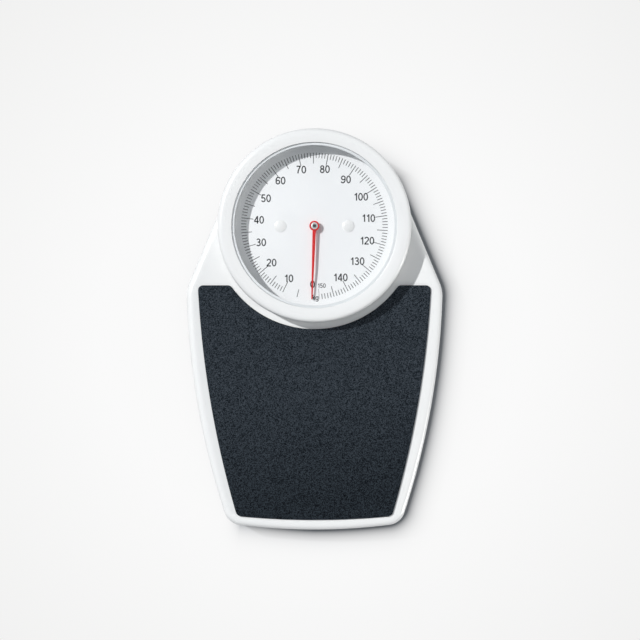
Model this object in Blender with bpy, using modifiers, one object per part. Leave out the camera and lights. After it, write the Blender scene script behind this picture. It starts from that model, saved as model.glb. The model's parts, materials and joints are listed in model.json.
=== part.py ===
"""Mechanical personal scale with a round dial head, in metres, +Z up.

The origin is on the floor under the middle of the scale. The dial is at +Y, the toes end at -Y.
A load on the cover turns four levers, which draw the drawbar down against the main spring.
The drawbar's foot lets the bell crank turn, and the crank draws the rack past the pinion.
"""
import math

import bmesh
import bpy

# Whole object
LENGTH = 0.4604
SHEET = 0.0012
SEAT_GAP = 0.0003
RUN_GAP = 0.00008
OVERRUN = 0.004

# Outline of the cover, seen from above
SHOULDER_LEAN = math.radians(22.7)
SHOULDER_RADIUS = 0.041
SIDE_RADIUS = 0.884
SIDE_REACH = 0.1481
SIDE_WIDEST_BACK = 0.0538
CORNER_RADIUS = 0.0207
FRONT_RADIUS = 0.690

# Cover
PLATFORM_HEIGHT = 0.046
SKIRT_BOTTOM = 0.011
EDGE_ROUND = 0.010

# Housing ring that stands on the cover, under the bezel
COLLAR_INSET = 0.0057
COLLAR_WALL = 0.0035
COLLAR_TOP = 0.0677
LEDGE_WIDTH = 0.0075
LEDGE_DEPTH = 0.0015
FLANGE_DEPTH = 0.0018
SPIGOT_WALL = 0.0015
SPIGOT_DEPTH = 0.005

# Mat
MAT_THICKNESS = 0.0018
MAT_SIDE_INSET = 0.015
MAT_REAR_BACK = 0.068
MAT_FRONT_INSET = 0.0124
MAT_FRONT_RADIUS = 0.900
MAT_HEAD_MARGIN = 0.0076
MAT_CUTOUT_ROUND = 0.0055
MAT_REAR_ROUND = 0.0055
MAT_FRONT_ROUND = 0.009

# Bezel, lens and its ring
BEZEL_RADIUS = 0.1107
BEZEL_BAND = 0.0148
BEZEL_OVERHANG = 0.0024
BEZEL_TOP = 0.074
BEZEL_SKIRT_GAP = 0.0018
BEZEL_SIDE_ROUND = 0.0078
BEZEL_SKIRT_WALL = 0.0024
BEZEL_RIB_HEIGHT = 0.006
BEZEL_INNER_TOP = 0.0716
LENS_SEAT_WIDTH = 0.0029
LENS_THICKNESS = 0.002
LENS_RING_BAND = 0.0038
LENS_RING_HEIGHT = 0.0011

# Base pan and feet
PAN_INSET = 0.004
PAN_TOP = 0.024
PAN_EDGE_ROUND = 0.003
FOOT_HEIGHT = 0.0057
FOOT_RADIUS = 0.0095
FOOT_DRAFT = 0.0012
FOOT_EDGE = 0.0008
FRONT_FOOT_SIDE_INSET = 0.02585
FRONT_FOOT_END_INSET = 0.0322
REAR_FOOT_SIDE_INSET = 0.05009
REAR_FOOT_BACK = 0.0495

# Levers
FRONT_FULCRUM_SIDE_INSET = 0.02291
FRONT_FULCRUM_END_INSET = 0.0422
REAR_FULCRUM_SIDE_INSET = 0.03516
REAR_FULCRUM_BACK = 0.0945
LOAD_ARM = 0.020
LEVER_HEIGHT = 0.008
LEVER_WALL = 0.004
LEVER_TAIL = 0.008
KNIFE_RADIUS = 0.002
KNIFE_LENGTH = 0.020
STIRRUP_WIDTH = 0.018
STIRRUP_DEPTH = 0.008
STIRRUP_SLOT = 0.010
STIRRUP_CROWN = 0.004
STIRRUP_LIP = 0.0009
TOE_LENGTH = 0.018
TOE_WIDTH = 0.008
TOE_THICKNESS = 0.0018
TOE_BITE = 0.0008
TOE_STANDOFF = 0.0065

# Nose plate, drawbar, spring and bridge
DRAW_BACK = 0.0395
DRAW_TRAVEL = 0.007
ARM_END_BACK = 0.014
NOSE_THICKNESS = 0.002
NOSE_START_BACK = 0.036
NOSE_TONGUE_WIDTH = 0.012
NOSE_TONGUE_END = 0.005
NOSE_HOLE_CLEARANCE = 0.0012
DRAWBAR_RADIUS = 0.0022
FOOT_PLATE_THICKNESS = 0.002
FOOT_PLATE_LEFT = 0.005
FOOT_PLATE_RIGHT = 0.0085
FOOT_PLATE_FRONT = 0.004
FOOT_PLATE_OVERLAP = 0.0008
SPRING_CAP_RADIUS = 0.009
SPRING_CAP_THICKNESS = 0.002
SPRING_CAP_TOP = 0.0475
BRIDGE_GAP = 0.0017
BRIDGE_WALL = 0.002
BRIDGE_HALF_SPAN = 0.017
BRIDGE_FLANGE = 0.008
BRIDGE_DEPTH = 0.016
SPRING_COIL_RADIUS = 0.0062
SPRING_WIRE_RADIUS = 0.0011
SPRING_TURNS = 5

# Bell crank
CRANK_BACK = 0.015
CRANK_X = 0.0058
CRANK_THICKNESS = 0.0024
CRANK_STANDOFF = 0.0074
CRANK_REACH = 0.0013
CRANK_TIP_RADIUS = 0.0015
CRANK_ARM_RELIEF = 0.0006
CRANK_HUB_RADIUS = 0.0035
CRANK_FINGER_WIDTH = 0.0024
CRANK_FINGER_OVERHANG = 0.0018
CRANK_PIN_RADIUS = 0.0015
CRANK_BRACKET_WALL = 0.0015
CRANK_BRACKET_DEPTH = 0.010
CRANK_BRACKET_RISE = 0.0045
CRANK_SIDE_GAP = 0.0006
CRANK_PIN_END = 0.0008

# Rack and pinion
PINION_RADIUS = 0.0025
PINION_TEETH = 10
PINION_BOTTOM = 0.0432
PINION_HEIGHT = 0.003
TOOTH_ADDENDUM = 0.00035
TOOTH_DEDENDUM = 0.0006
PINION_DEDENDUM = 0.00075
TOOTH_FOOT_SHARE = 0.45
TOOTH_TIP_SHARE = 0.22
RACK_BOTTOM = 0.0436
RACK_THICKNESS = 0.0018
RACK_BACK = 0.0059
RACK_SPARE_TEETH = 1
RACK_TAIL = 0.0032
RACK_SLOT_SIDE_GAP = 0.0004
RACK_SLOT_END_GAP = 0.0008
GUIDE_WALL = 0.0015
GUIDE_LIP = 0.0043
GUIDE_FLANGE = 0.0045
GUIDE_LENGTH = 0.007
GUIDE_OFFSET_Y = -0.0005

# Pinion shaft, bush and pointer
SHAFT_RADIUS = 0.001
SHAFT_FOOT = 0.0012
BUSH_RADIUS = 0.0028
BUSH_FLANGE_RADIUS = 0.004
BUSH_FLANGE_THICKNESS = 0.001
BUSH_TOP = 0.052
POINTER_SWEEP = math.radians(354.2)
POINTER_ZERO = math.radians(2.0)
POINTER_BOTTOM = 0.056
POINTER_THICKNESS = 0.0006
POINTER_TIP_MARGIN = 0.0115
POINTER_HUB_RADIUS = 0.0058
POINTER_ROOT_WIDTH = 0.0030
POINTER_TIP_WIDTH = 0.0009
HUB_CAP_RADIUS = 0.0039
HUB_CAP_HEIGHT = 0.0016
HUB_CAP_EDGE = 0.0005

# Gear plate, posts, screws, dial and rivets
GEAR_PLATE_TOP = 0.0492
GEAR_PLATE_HALF_WIDTH = 0.058
GEAR_PLATE_HALF_LENGTH = 0.038
GEAR_PLATE_CORNER = 0.008
POST_RADIUS = 0.004
POST_X = 0.050
POST_Y = 0.030
POST_BORE_DEPTH = 0.010
SCREW_RADIUS = 0.0015
SCREW_LENGTH = 0.010
SCREW_HEAD_RADIUS = 0.0035
SCREW_HEAD_HEIGHT = 0.0014
DIAL_MARGIN = 0.0015
DIAL_THICKNESS = 0.001
RIVET_X = 0.039
RIVET_HEAD_RADIUS = 0.0069
RIVET_HEAD_HEIGHT = 0.002
RIVET_SHANK_RADIUS = 0.002
RIVET_TAIL_RADIUS = 0.0032
RIVET_TAIL_HEIGHT = 0.0012

# Zero wheel and its strap
WHEEL_RADIUS = 0.011
WHEEL_GROOVE = 0.0007
WHEEL_RIBS = 24
WHEEL_BOTTOM = 0.013
WHEEL_THICKNESS = 0.006
WHEEL_REAR_MARGIN = 0.0003
WHEEL_BOSS_RADIUS = 0.004
WHEEL_BOSS_HEIGHT = 0.0035
WHEEL_SPINDLE_RADIUS = 0.002
WHEEL_SPINDLE_END = 0.002
WHEEL_SLOT_GAP = 0.0018
STRAP_THICKNESS = 0.0012
STRAP_WIDTH = 0.008
STRAP_OFFSET = 0.013
STRAP_FRONT = 0.006
STRAP_BEND_AHEAD = 0.0305

# Fineness of round shapes, in steps
HEAD_STEPS = 64
HEAD_ARC_STEPS = 16
SHOULDER_STEPS = 4
SIDE_STEPS = 11
CORNER_STEPS = 5
FRONT_STEPS = 6
EDGE_STEPS = 4
CROWN_STEPS = 6
SMALL_STEPS = 16
TINY_STEPS = 12
SPRING_STEPS = 10
SMOOTH_ANGLE = math.radians(35)

# Radii of the head, from its rim inwards
HEAD_RADIUS = BEZEL_RADIUS - BEZEL_OVERHANG
BEZEL_INNER_RADIUS = BEZEL_RADIUS - BEZEL_BAND
COLLAR_RADIUS = BEZEL_RADIUS - COLLAR_INSET
LEDGE_RADIUS = COLLAR_RADIUS - LEDGE_WIDTH
SPIGOT_RADIUS = LEDGE_RADIUS + SPIGOT_WALL
LENS_RADIUS = LEDGE_RADIUS + LENS_SEAT_WIDTH
LENS_RING_INNER_RADIUS = BEZEL_INNER_RADIUS - LENS_RING_BAND
DIAL_RADIUS = LEDGE_RADIUS - DIAL_MARGIN
POINTER_LENGTH = DIAL_RADIUS - POINTER_TIP_MARGIN
MAT_CUTOUT_RADIUS = BEZEL_RADIUS + MAT_HEAD_MARGIN

# Places along the scale, from its front edge or from the middle of the head
FRONT_Y = -LENGTH / 2
HEAD_Y = LENGTH / 2 - BEZEL_RADIUS
SIDE_WIDEST_Y = HEAD_Y - SIDE_WIDEST_BACK
MAT_REAR_Y = HEAD_Y - MAT_REAR_BACK
MAT_FRONT_Y = FRONT_Y + MAT_FRONT_INSET
DRAW_Y = HEAD_Y - DRAW_BACK
ARM_END_Y = DRAW_Y - ARM_END_BACK
NOSE_START_Y = DRAW_Y - NOSE_START_BACK
CRANK_Y = HEAD_Y - CRANK_BACK
STRAP_BEND_Y = HEAD_Y + STRAP_BEND_AHEAD

# Heights and other sizes that follow from the sizes above
PAN_BOTTOM = FOOT_HEIGHT + SEAT_GAP
FLOOR_TOP = PAN_BOTTOM + SHEET + SEAT_GAP
COVER_UNDERSIDE = PLATFORM_HEIGHT - SHEET
CRANK_Z = FLOOR_TOP + CRANK_STANDOFF
CRANK_TIP_RISE = DRAW_TRAVEL / 2
FOOT_PLATE_TOP = CRANK_Z + CRANK_TIP_RISE - CRANK_TIP_RADIUS - SEAT_GAP
NOSE_BOTTOM = FOOT_PLATE_TOP + SEAT_GAP
NOSE_TOP = NOSE_BOTTOM + NOSE_THICKNESS
LEVER_BOTTOM = NOSE_TOP + SEAT_GAP
KNIFE_HEIGHT = LEVER_BOTTOM + LEVER_HEIGHT / 2
BRIDGE_TOP = NOSE_TOP + BRIDGE_GAP + BRIDGE_WALL
SPRING_CAP_BOTTOM = SPRING_CAP_TOP - SPRING_CAP_THICKNESS
RACK_TRAVEL = PINION_RADIUS * POINTER_SWEEP
CRANK_LONG_ARM = RACK_BOTTOM + CRANK_REACH - CRANK_Z
CRANK_SWEEP = RACK_TRAVEL / CRANK_LONG_ARM
CRANK_SHORT_ARM = DRAW_TRAVEL / CRANK_SWEEP
CRANK_REST_LEAN = math.asin(CRANK_TIP_RISE / CRANK_SHORT_ARM)
CRANK_TIP_Y = CRANK_Y - CRANK_SHORT_ARM * math.cos(CRANK_REST_LEAN)
TOOTH_PITCH = 2 * math.pi * PINION_RADIUS / PINION_TEETH
GEAR_PLATE_BOTTOM = GEAR_PLATE_TOP - SHEET
DIAL_BOTTOM = GEAR_PLATE_TOP + SEAT_GAP
DIAL_TOP = DIAL_BOTTOM + DIAL_THICKNESS
POINTER_TOP = POINTER_BOTTOM + POINTER_THICKNESS
LENS_BOTTOM = COLLAR_TOP + SEAT_GAP
LENS_TOP = LENS_BOTTOM + LENS_THICKNESS
WHEEL_Y = LENGTH / 2 - WHEEL_REAR_MARGIN - WHEEL_RADIUS
WHEEL_BOSS_TOP = WHEEL_BOTTOM + WHEEL_THICKNESS + WHEEL_BOSS_HEIGHT
STRAP_BOTTOM = max(WHEEL_BOSS_TOP, BRIDGE_TOP) + SEAT_GAP


# Places measured inwards from the curved side

def inside_the_side(inset, y):
    return (SIDE_REACH - SIDE_RADIUS + math.sqrt(SIDE_RADIUS ** 2 - (y - SIDE_WIDEST_Y) ** 2) - inset, y)


FRONT_FOOT_PLACE = inside_the_side(FRONT_FOOT_SIDE_INSET, FRONT_Y + FRONT_FOOT_END_INSET)
REAR_FOOT_PLACE = inside_the_side(REAR_FOOT_SIDE_INSET, HEAD_Y - REAR_FOOT_BACK)
FRONT_FULCRUM = inside_the_side(FRONT_FULCRUM_SIDE_INSET, FRONT_Y + FRONT_FULCRUM_END_INSET)
REAR_FULCRUM = inside_the_side(REAR_FULCRUM_SIDE_INSET, HEAD_Y - REAR_FULCRUM_BACK)


# Scene

def clear_scene():
    for item in list(bpy.data.objects):
        bpy.data.objects.remove(item, do_unlink=True)


def new_collection(name):
    collection = bpy.data.collections.new(name)
    bpy.context.scene.collection.children.link(collection)
    return collection


clear_scene()
PARTS = new_collection("personal_scale")
CUTTERS = new_collection("cutters")


# Materials

def principled(name, colour, roughness, metallic=0.0, alpha=1.0, coat=0.0):
    made = bpy.data.materials.new(name)
    made.use_nodes = True
    shader = made.node_tree.nodes["Principled BSDF"]
    shader.inputs["Base Color"].default_value = (*colour, 1.0)
    shader.inputs["Roughness"].default_value = roughness
    shader.inputs["Metallic"].default_value = metallic
    shader.inputs["Alpha"].default_value = alpha
    shader.inputs["Coat Weight"].default_value = coat
    return made


ENAMEL = principled("white_enamel", (0.86, 0.87, 0.87), 0.28, coat=0.5)
MAT_RUBBER = principled("black_mat_rubber", (0.028, 0.033, 0.042), 0.75)
FOOT_RUBBER = principled("grey_foot_rubber", (0.09, 0.09, 0.09), 0.85)
BEZEL_PLASTIC = principled("white_bezel_plastic", (0.87, 0.88, 0.88), 0.3)
RING_PLASTIC = principled("pale_ring_plastic", (0.68, 0.69, 0.70), 0.4)
LENS_PLASTIC = principled("clear_lens_plastic", (0.95, 0.96, 0.97), 0.05, alpha=0.2)
DIAL_PAINT = principled("white_dial_paint", (0.88, 0.89, 0.89), 0.5)
POINTER_PAINT = principled("red_pointer_paint", (0.75, 0.03, 0.03), 0.4)
ZINC_STEEL = principled("zinc_plated_steel", (0.62, 0.63, 0.64), 0.35, metallic=1.0)
LEVER_STEEL = principled("rolled_lever_steel", (0.40, 0.41, 0.43), 0.45, metallic=1.0)
HARD_STEEL = principled("hardened_knife_steel", (0.55, 0.55, 0.57), 0.2, metallic=1.0)
SPRING_STEEL = principled("oiled_spring_steel", (0.30, 0.30, 0.32), 0.35, metallic=1.0)
BRASS = principled("turned_brass", (0.72, 0.54, 0.24), 0.3, metallic=1.0)
WHEEL_PLASTIC = principled("grey_wheel_plastic", (0.25, 0.26, 0.27), 0.5)


# Plane geometry

def polar(centre, radius, angle):
    return (centre[0] + radius * math.cos(angle), centre[1] + radius * math.sin(angle))


def arc(centre, radius, start, end, steps):
    turns = [start + (end - start) * step / steps for step in range(steps + 1)]
    return [polar(centre, radius, turn) for turn in turns]


def circle(centre, radius, steps):
    return arc(centre, radius, 0.0, 2 * math.pi, steps)[:-1]


def bearing(start, end):
    return math.atan2(end[1] - start[1], end[0] - start[0])


def lower_crossing(centre_a, radius_a, centre_b, radius_b):
    """The crossing of two circles that lies nearer the toes end."""
    apart = math.dist(centre_a, centre_b)
    along = (radius_a ** 2 - radius_b ** 2 + apart ** 2) / (2 * apart)
    across = math.sqrt(radius_a ** 2 - along ** 2)
    turn = bearing(centre_a, centre_b)
    foot = polar(centre_a, along, turn)
    both = [polar(foot, across, turn + side * math.pi / 2) for side in (-1, 1)]
    return min(both, key=lambda point: point[1])


def rounded_corner(before, corner, after, radius, steps):
    """An arc that rounds one corner of an outline between two straight stretches."""
    towards_before = bearing(corner, before)
    opening = bearing(corner, after) - towards_before
    opening = (opening + math.pi) % (2 * math.pi) - math.pi
    middle = towards_before + opening / 2
    centre = polar(corner, radius / math.sin(abs(opening) / 2), middle)
    half_turn = math.copysign((math.pi - abs(opening)) / 2, -opening)
    facing = middle + math.pi
    return arc(centre, radius, facing - half_turn, facing + half_turn, steps)


def mirrored(points):
    return [(-x, y) for x, y in reversed(points)]


def rectangle(half_width, half_length, corner):
    """A rectangle with rounded corners round the origin."""
    x = half_width - corner
    y = half_length - corner
    quarter = math.pi / 2
    corners = [((x, y), 0), ((-x, y), 1), ((-x, -y), 2), ((x, -y), 3)]
    points = []
    for centre, turn in corners:
        points += arc(centre, corner, turn * quarter, (turn + 1) * quarter, EDGE_STEPS)
    return points


def shoulder_centre(side):
    """The centre of the arc that joins the slanted shoulder line to the long side arc."""
    normal = (math.cos(SHOULDER_LEAN), math.sin(SHOULDER_LEAN))
    offset = normal[1] * HEAD_Y + HEAD_RADIUS - SHOULDER_RADIUS
    reach = SIDE_RADIUS - SHOULDER_RADIUS
    from_side = offset - normal[0] * side[0] - normal[1] * side[1]
    return polar(side, reach, SHOULDER_LEAN - math.acos(from_side / reach))


def base_outline(inset):
    """The whole outline, drawn inwards by inset: head, shoulders, sides, corners and front."""
    head = (0.0, HEAD_Y)
    side = (SIDE_REACH - SIDE_RADIUS, SIDE_WIDEST_Y)
    front = (0.0, FRONT_Y + FRONT_RADIUS)
    shoulder = shoulder_centre(side)
    corner = lower_crossing(side, SIDE_RADIUS - CORNER_RADIUS, front, FRONT_RADIUS - CORNER_RADIUS)
    side_start = bearing(side, shoulder)
    side_end = bearing(side, corner)
    front_start = bearing(front, corner)
    quarter = math.pi / 2
    right = arc(head, HEAD_RADIUS - inset, quarter, SHOULDER_LEAN, HEAD_ARC_STEPS)
    right += arc(shoulder, SHOULDER_RADIUS - inset, SHOULDER_LEAN, side_start, SHOULDER_STEPS)
    right += arc(side, SIDE_RADIUS - inset, side_start, side_end, SIDE_STEPS)[1:]
    right += arc(corner, CORNER_RADIUS - inset, side_end, front_start, CORNER_STEPS)[1:]
    right += arc(front, FRONT_RADIUS - inset, front_start, -quarter, FRONT_STEPS)[1:]
    return right + mirrored(right)[1:-1]


def mat_outline():
    """The mat: straight at the rear but for the round cutout, with bowed sides and front."""
    side = (SIDE_REACH - SIDE_RADIUS, SIDE_WIDEST_Y)
    side_radius = SIDE_RADIUS - MAT_SIDE_INSET
    front = (0.0, MAT_FRONT_RADIUS + MAT_FRONT_Y)
    rear_turn = math.asin((MAT_REAR_Y - SIDE_WIDEST_Y) / side_radius)
    corner = lower_crossing(side, side_radius, front, MAT_FRONT_RADIUS)
    side_points = arc(side, side_radius, rear_turn, bearing(side, corner), SIDE_STEPS)
    front_points = arc(front, MAT_FRONT_RADIUS, bearing(front, corner), -math.pi / 2, FRONT_STEPS)
    cut_turn = math.asin((MAT_REAR_Y - HEAD_Y) / MAT_CUTOUT_RADIUS)
    cutout = arc((0.0, HEAD_Y), MAT_CUTOUT_RADIUS, -math.pi / 2, cut_turn, HEAD_ARC_STEPS)
    right = cutout[:-1]
    right += rounded_corner(cutout[-2], cutout[-1], side_points[0], MAT_CUTOUT_ROUND, EDGE_STEPS)
    right += rounded_corner(cutout[-1], side_points[0], side_points[1], MAT_REAR_ROUND, EDGE_STEPS)
    right += side_points[1:-1]
    right += rounded_corner(side_points[-2], corner, front_points[1], MAT_FRONT_ROUND, EDGE_STEPS)
    right += front_points[1:]
    return right + mirrored(right)[1:-1]


# Solids

def place(name, mesh, finish, location, collection=PARTS):
    """Links a mesh as an object, with its own finish."""
    made = bpy.data.objects.new(name, mesh)
    collection.objects.link(made)
    made.location = location
    if finish is not None:
        mesh.materials.append(finish)
        mesh.shade_smooth()
        mesh.set_sharp_from_angle(angle=SMOOTH_ANGLE)
    else:
        made.hide_render = True
        made.display_type = "WIRE"
    return made


def to_mesh(name, sketch):
    mesh = bpy.data.meshes.new(name)
    sketch.to_mesh(mesh)
    sketch.free()
    return mesh


def block(name, low, high, finish):
    """A box between two corners."""
    centre = [(a + b) / 2 for a, b in zip(low, high)]
    size = [b - a for a, b in zip(low, high)]
    sketch = bmesh.new()
    bmesh.ops.create_cube(sketch, size=1.0)
    bmesh.ops.scale(sketch, vec=size, verts=sketch.verts)
    return place(name, to_mesh(name, sketch), finish, centre, PARTS if finish else CUTTERS)


def rod(name, radius, length, centres, finish, lying=False, steps=SMALL_STEPS):
    """A round rod, or a cutter of several, standing or lying along X."""
    first = centres[0]
    sketch = bmesh.new()
    for centre in centres:
        made = bmesh.ops.create_cone(
            sketch, cap_ends=True, segments=steps, radius1=radius, radius2=radius, depth=length)
        if lying:
            turn = [[0, 0, 1], [0, 1, 0], [-1, 0, 0]]
            for vert in made["verts"]:
                vert.co = [sum(a * b for a, b in zip(row, vert.co)) for row in turn]
        shift = [a - b for a, b in zip(centre, first)]
        bmesh.ops.translate(sketch, vec=shift, verts=made["verts"])
    return place(name, to_mesh(name, sketch), finish, first, PARTS if finish else CUTTERS)


def turned(name, profiles, centre, finish, steps=SMALL_STEPS):
    """A turned solid: each profile of (radius, height) runs down its outer side."""
    sketch = bmesh.new()
    for profile in profiles:
        verts = [sketch.verts.new((radius, 0.0, height)) for radius, height in profile]
        closed = profile[0][0] > 0
        ends = verts[1:] + verts[:1] if closed else verts[1:]
        for start, end in zip(verts, ends):
            sketch.edges.new((start, end))
    location = (centre[0], centre[1], 0.0)
    made = place(name, to_mesh(name, sketch), finish, location, PARTS if finish else CUTTERS)
    screw = made.modifiers.new("Turn", "SCREW")
    screw.steps = steps
    screw.render_steps = steps
    screw.use_merge_vertices = True
    screw.merge_threshold = SEAT_GAP / 100
    return made


def flat(name, outlines, bottom, top, finish, location=(0.0, 0.0)):
    """A flat solid from one outline and any holes, drawn round location."""
    curve = bpy.data.curves.new(name, "CURVE")
    curve.dimensions = "2D"
    curve.fill_mode = "BOTH"
    curve.extrude = (top - bottom) / 2
    for outline in outlines:
        spline = curve.splines.new("POLY")
        spline.points.add(len(outline) - 1)
        for point, (x, y) in zip(spline.points, outline):
            point.co = (x, y, 0.0, 1.0)
        spline.use_cyclic_u = True
    mesh = curve_mesh(name, curve)
    centre = (location[0], location[1], (top + bottom) / 2)
    return place(name, mesh, finish, centre, PARTS if finish else CUTTERS)


def curve_mesh(name, curve):
    """A curve as one closed mesh, with its flat caps as whole faces."""
    drawn = bpy.data.objects.new(name, curve)
    PARTS.objects.link(drawn)
    graph = bpy.context.evaluated_depsgraph_get()
    mesh = bpy.data.meshes.new_from_object(drawn.evaluated_get(graph))
    bpy.data.objects.remove(drawn)
    bpy.data.curves.remove(curve)
    sketch = bmesh.new()
    sketch.from_mesh(mesh)
    bmesh.ops.remove_doubles(sketch, verts=sketch.verts, dist=SEAT_GAP / 100)
    flatness = math.radians(0.05)
    bmesh.ops.dissolve_limit(sketch, angle_limit=flatness, verts=sketch.verts, edges=sketch.edges)
    bmesh.ops.recalc_face_normals(sketch, faces=sketch.faces)
    sketch.to_mesh(mesh)
    sketch.free()
    return mesh


def upright(name, outline, front, rear, finish):
    """A solid whose outline is drawn in X and Z, between two places along Y."""
    made = flat(name, [outline], front, rear, finish)
    made.location = (0.0, (front + rear) / 2, 0.0)
    made.rotation_euler = (math.pi / 2, 0.0, 0.0)
    return made


def sheet_shell(name, outline, bottom, top, finish, open_above):
    """A pressed sheet: a flat solid with one side open, a rolled edge and a wall thickness."""
    made = flat(name, [outline], bottom, top, finish)
    sketch = bmesh.new()
    sketch.from_mesh(made.data)
    facing = 1 if open_above else -1
    lid = [face for face in sketch.faces if face.normal.z * facing > 0.5]
    bmesh.ops.delete(sketch, geom=lid, context="FACES")
    sketch.to_mesh(made.data)
    sketch.free()
    edge = made.modifiers.new("Rolled edge", "BEVEL")
    edge.width = PAN_EDGE_ROUND if open_above else EDGE_ROUND
    edge.segments = EDGE_STEPS
    edge.limit_method = "ANGLE"
    edge.angle_limit = math.radians(50)
    wall = made.modifiers.new("Sheet", "SOLIDIFY")
    wall.thickness = SHEET
    wall.offset = -1.0
    wall.use_even_offset = True
    return made


def combine(target, other, operation):
    """Cuts another solid from the target, or joins it on."""
    step = target.modifiers.new(other.name, "BOOLEAN")
    step.operation = operation
    step.solver = "EXACT"
    step.object = other


def cut(target, *cutters):
    for cutter in cutters:
        combine(target, cutter, "DIFFERENCE")


def join(target, *others):
    for other in others:
        combine(target, other, "UNION")


def carrier(name, location, pieces):
    """An empty on a moving body's joint axis, which carries its pieces."""
    frame = bpy.data.objects.new(name, None)
    frame.empty_display_size = KNIFE_LENGTH
    frame.location = location
    PARTS.objects.link(frame)
    for piece in pieces:
        piece.parent = frame
        piece.location = [a - b for a, b in zip(piece.location, location)]
    return frame


# Cover and what rides on it

def wheel_slot(name, bottom, top):
    """The slot through which the zero wheel shows at the rear."""
    half = WHEEL_RADIUS + WHEEL_SLOT_GAP
    low = (-half, WHEEL_Y, bottom)
    high = (half, LENGTH / 2 + OVERRUN, top)
    return block(name, low, high, None)


def make_cover():
    cover = sheet_shell("platform_cover", base_outline(0.0), SKIRT_BOTTOM, PLATFORM_HEIGHT, ENAMEL, False)
    radius = SPIGOT_RADIUS + SEAT_GAP
    depth = PLATFORM_HEIGHT - SKIRT_BOTTOM
    well = rod("cut_well", radius, depth, [(0.0, HEAD_Y, PLATFORM_HEIGHT)], None, steps=HEAD_STEPS)
    slot_top = WHEEL_BOTTOM + WHEEL_THICKNESS + WHEEL_SLOT_GAP
    cut(cover, well, wheel_slot("cut_cover_slot", SKIRT_BOTTOM - OVERRUN, slot_top))
    return cover


def make_housing():
    """The ring under the bezel: a spigot in the cover's well, a flange, a wall and the lens's ledge."""
    seat = PLATFORM_HEIGHT + SEAT_GAP
    wall = COLLAR_RADIUS - COLLAR_WALL
    ledge = COLLAR_TOP - LEDGE_DEPTH
    profile = [(COLLAR_RADIUS, COLLAR_TOP), (COLLAR_RADIUS, seat), (SPIGOT_RADIUS, seat),
               (SPIGOT_RADIUS, seat - SPIGOT_DEPTH), (LEDGE_RADIUS, seat - SPIGOT_DEPTH),
               (LEDGE_RADIUS, seat + FLANGE_DEPTH), (wall, seat + FLANGE_DEPTH), (wall, ledge),
               (LEDGE_RADIUS, ledge), (LEDGE_RADIUS, COLLAR_TOP)]
    return turned("dial_housing", [profile], (0.0, HEAD_Y), BEZEL_PLASTIC, HEAD_STEPS)


def make_mat():
    bottom = PLATFORM_HEIGHT + SEAT_GAP
    return flat("platform_mat", [mat_outline()], bottom, bottom + MAT_THICKNESS, MAT_RUBBER)


def bezel_profile():
    """A moulded ring: a thin skirt outside, a rounded crown, and a seat on the housing and lens."""
    skirt_bottom = PLATFORM_HEIGHT + BEZEL_SKIRT_GAP
    seat = LENS_BOTTOM
    rib = COLLAR_RADIUS + SEAT_GAP
    crown_centre = (BEZEL_RADIUS - BEZEL_SIDE_ROUND, BEZEL_TOP - BEZEL_SIDE_ROUND)
    crown = arc(crown_centre, BEZEL_SIDE_ROUND, math.pi / 2, 0.0, CROWN_STEPS)
    return crown + [
        (BEZEL_RADIUS, skirt_bottom),
        (BEZEL_RADIUS - BEZEL_SKIRT_WALL, skirt_bottom),
        (BEZEL_RADIUS - BEZEL_SKIRT_WALL, seat - BEZEL_RIB_HEIGHT),
        (rib, seat - BEZEL_RIB_HEIGHT),
        (rib, seat),
        (LENS_RADIUS + SEAT_GAP, seat),
        (LENS_RADIUS + SEAT_GAP, LENS_TOP + SEAT_GAP),
        (BEZEL_INNER_RADIUS, LENS_TOP + SEAT_GAP),
        (BEZEL_INNER_RADIUS, BEZEL_INNER_TOP),
    ]


def ring(name, inner, outer, bottom, top, finish, steps=HEAD_STEPS):
    profile = [(outer, top), (outer, bottom), (inner, bottom), (inner, top)]
    return turned(name, [profile], (0.0, HEAD_Y), finish, steps)


def make_dial_window():
    """The bezel, the lens that it holds, and the ring that lies on the lens."""
    bezel = turned("bezel_ring", [bezel_profile()], (0.0, HEAD_Y), BEZEL_PLASTIC, HEAD_STEPS)
    lens = turned("dial_lens", [[(0.0, LENS_TOP), (LENS_RADIUS, LENS_TOP), (LENS_RADIUS, LENS_BOTTOM),
                                 (0.0, LENS_BOTTOM)]], (0.0, HEAD_Y), LENS_PLASTIC, HEAD_STEPS)
    bottom = LENS_TOP + SEAT_GAP
    outer = BEZEL_INNER_RADIUS - SEAT_GAP
    seal = ring("lens_ring", LENS_RING_INNER_RADIUS, outer, bottom, bottom + LENS_RING_HEIGHT, RING_PLASTIC)
    return [bezel, lens, seal]


def stirrup(name, place_xy, closed_z, finish):
    """A U-shaped block with a groove in its open end, for a knife pin that lies along X."""
    x, y = place_xy
    facing = 1 if closed_z < KNIFE_HEIGHT else -1
    open_z = KNIFE_HEIGHT + facing * STIRRUP_LIP
    beyond = open_z + facing * OVERRUN
    groove = KNIFE_RADIUS + SEAT_GAP
    half_depth = STIRRUP_DEPTH / 2

    def span(half_x, half_y, z_a, z_b, label, finish_used):
        low = (x - half_x, y - half_y, min(z_a, z_b))
        high = (x + half_x, y + half_y, max(z_a, z_b))
        return block(label, low, high, finish_used)

    body = span(STIRRUP_WIDTH / 2, half_depth, closed_z, open_z, name, finish)
    crown = KNIFE_HEIGHT - facing * (LEVER_HEIGHT / 2 + STIRRUP_CROWN)
    slot = span(STIRRUP_SLOT / 2, half_depth + OVERRUN, crown, beyond, "cut_slot_" + name, None)
    mouth = span(STIRRUP_WIDTH, groove, KNIFE_HEIGHT, beyond, "cut_mouth_" + name, None)
    seat = rod("cut_seat_" + name, groove, 2 * STIRRUP_WIDTH, [(x, y, KNIFE_HEIGHT)], None, lying=True)
    cut(body, slot, mouth, seat)
    return body


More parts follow.
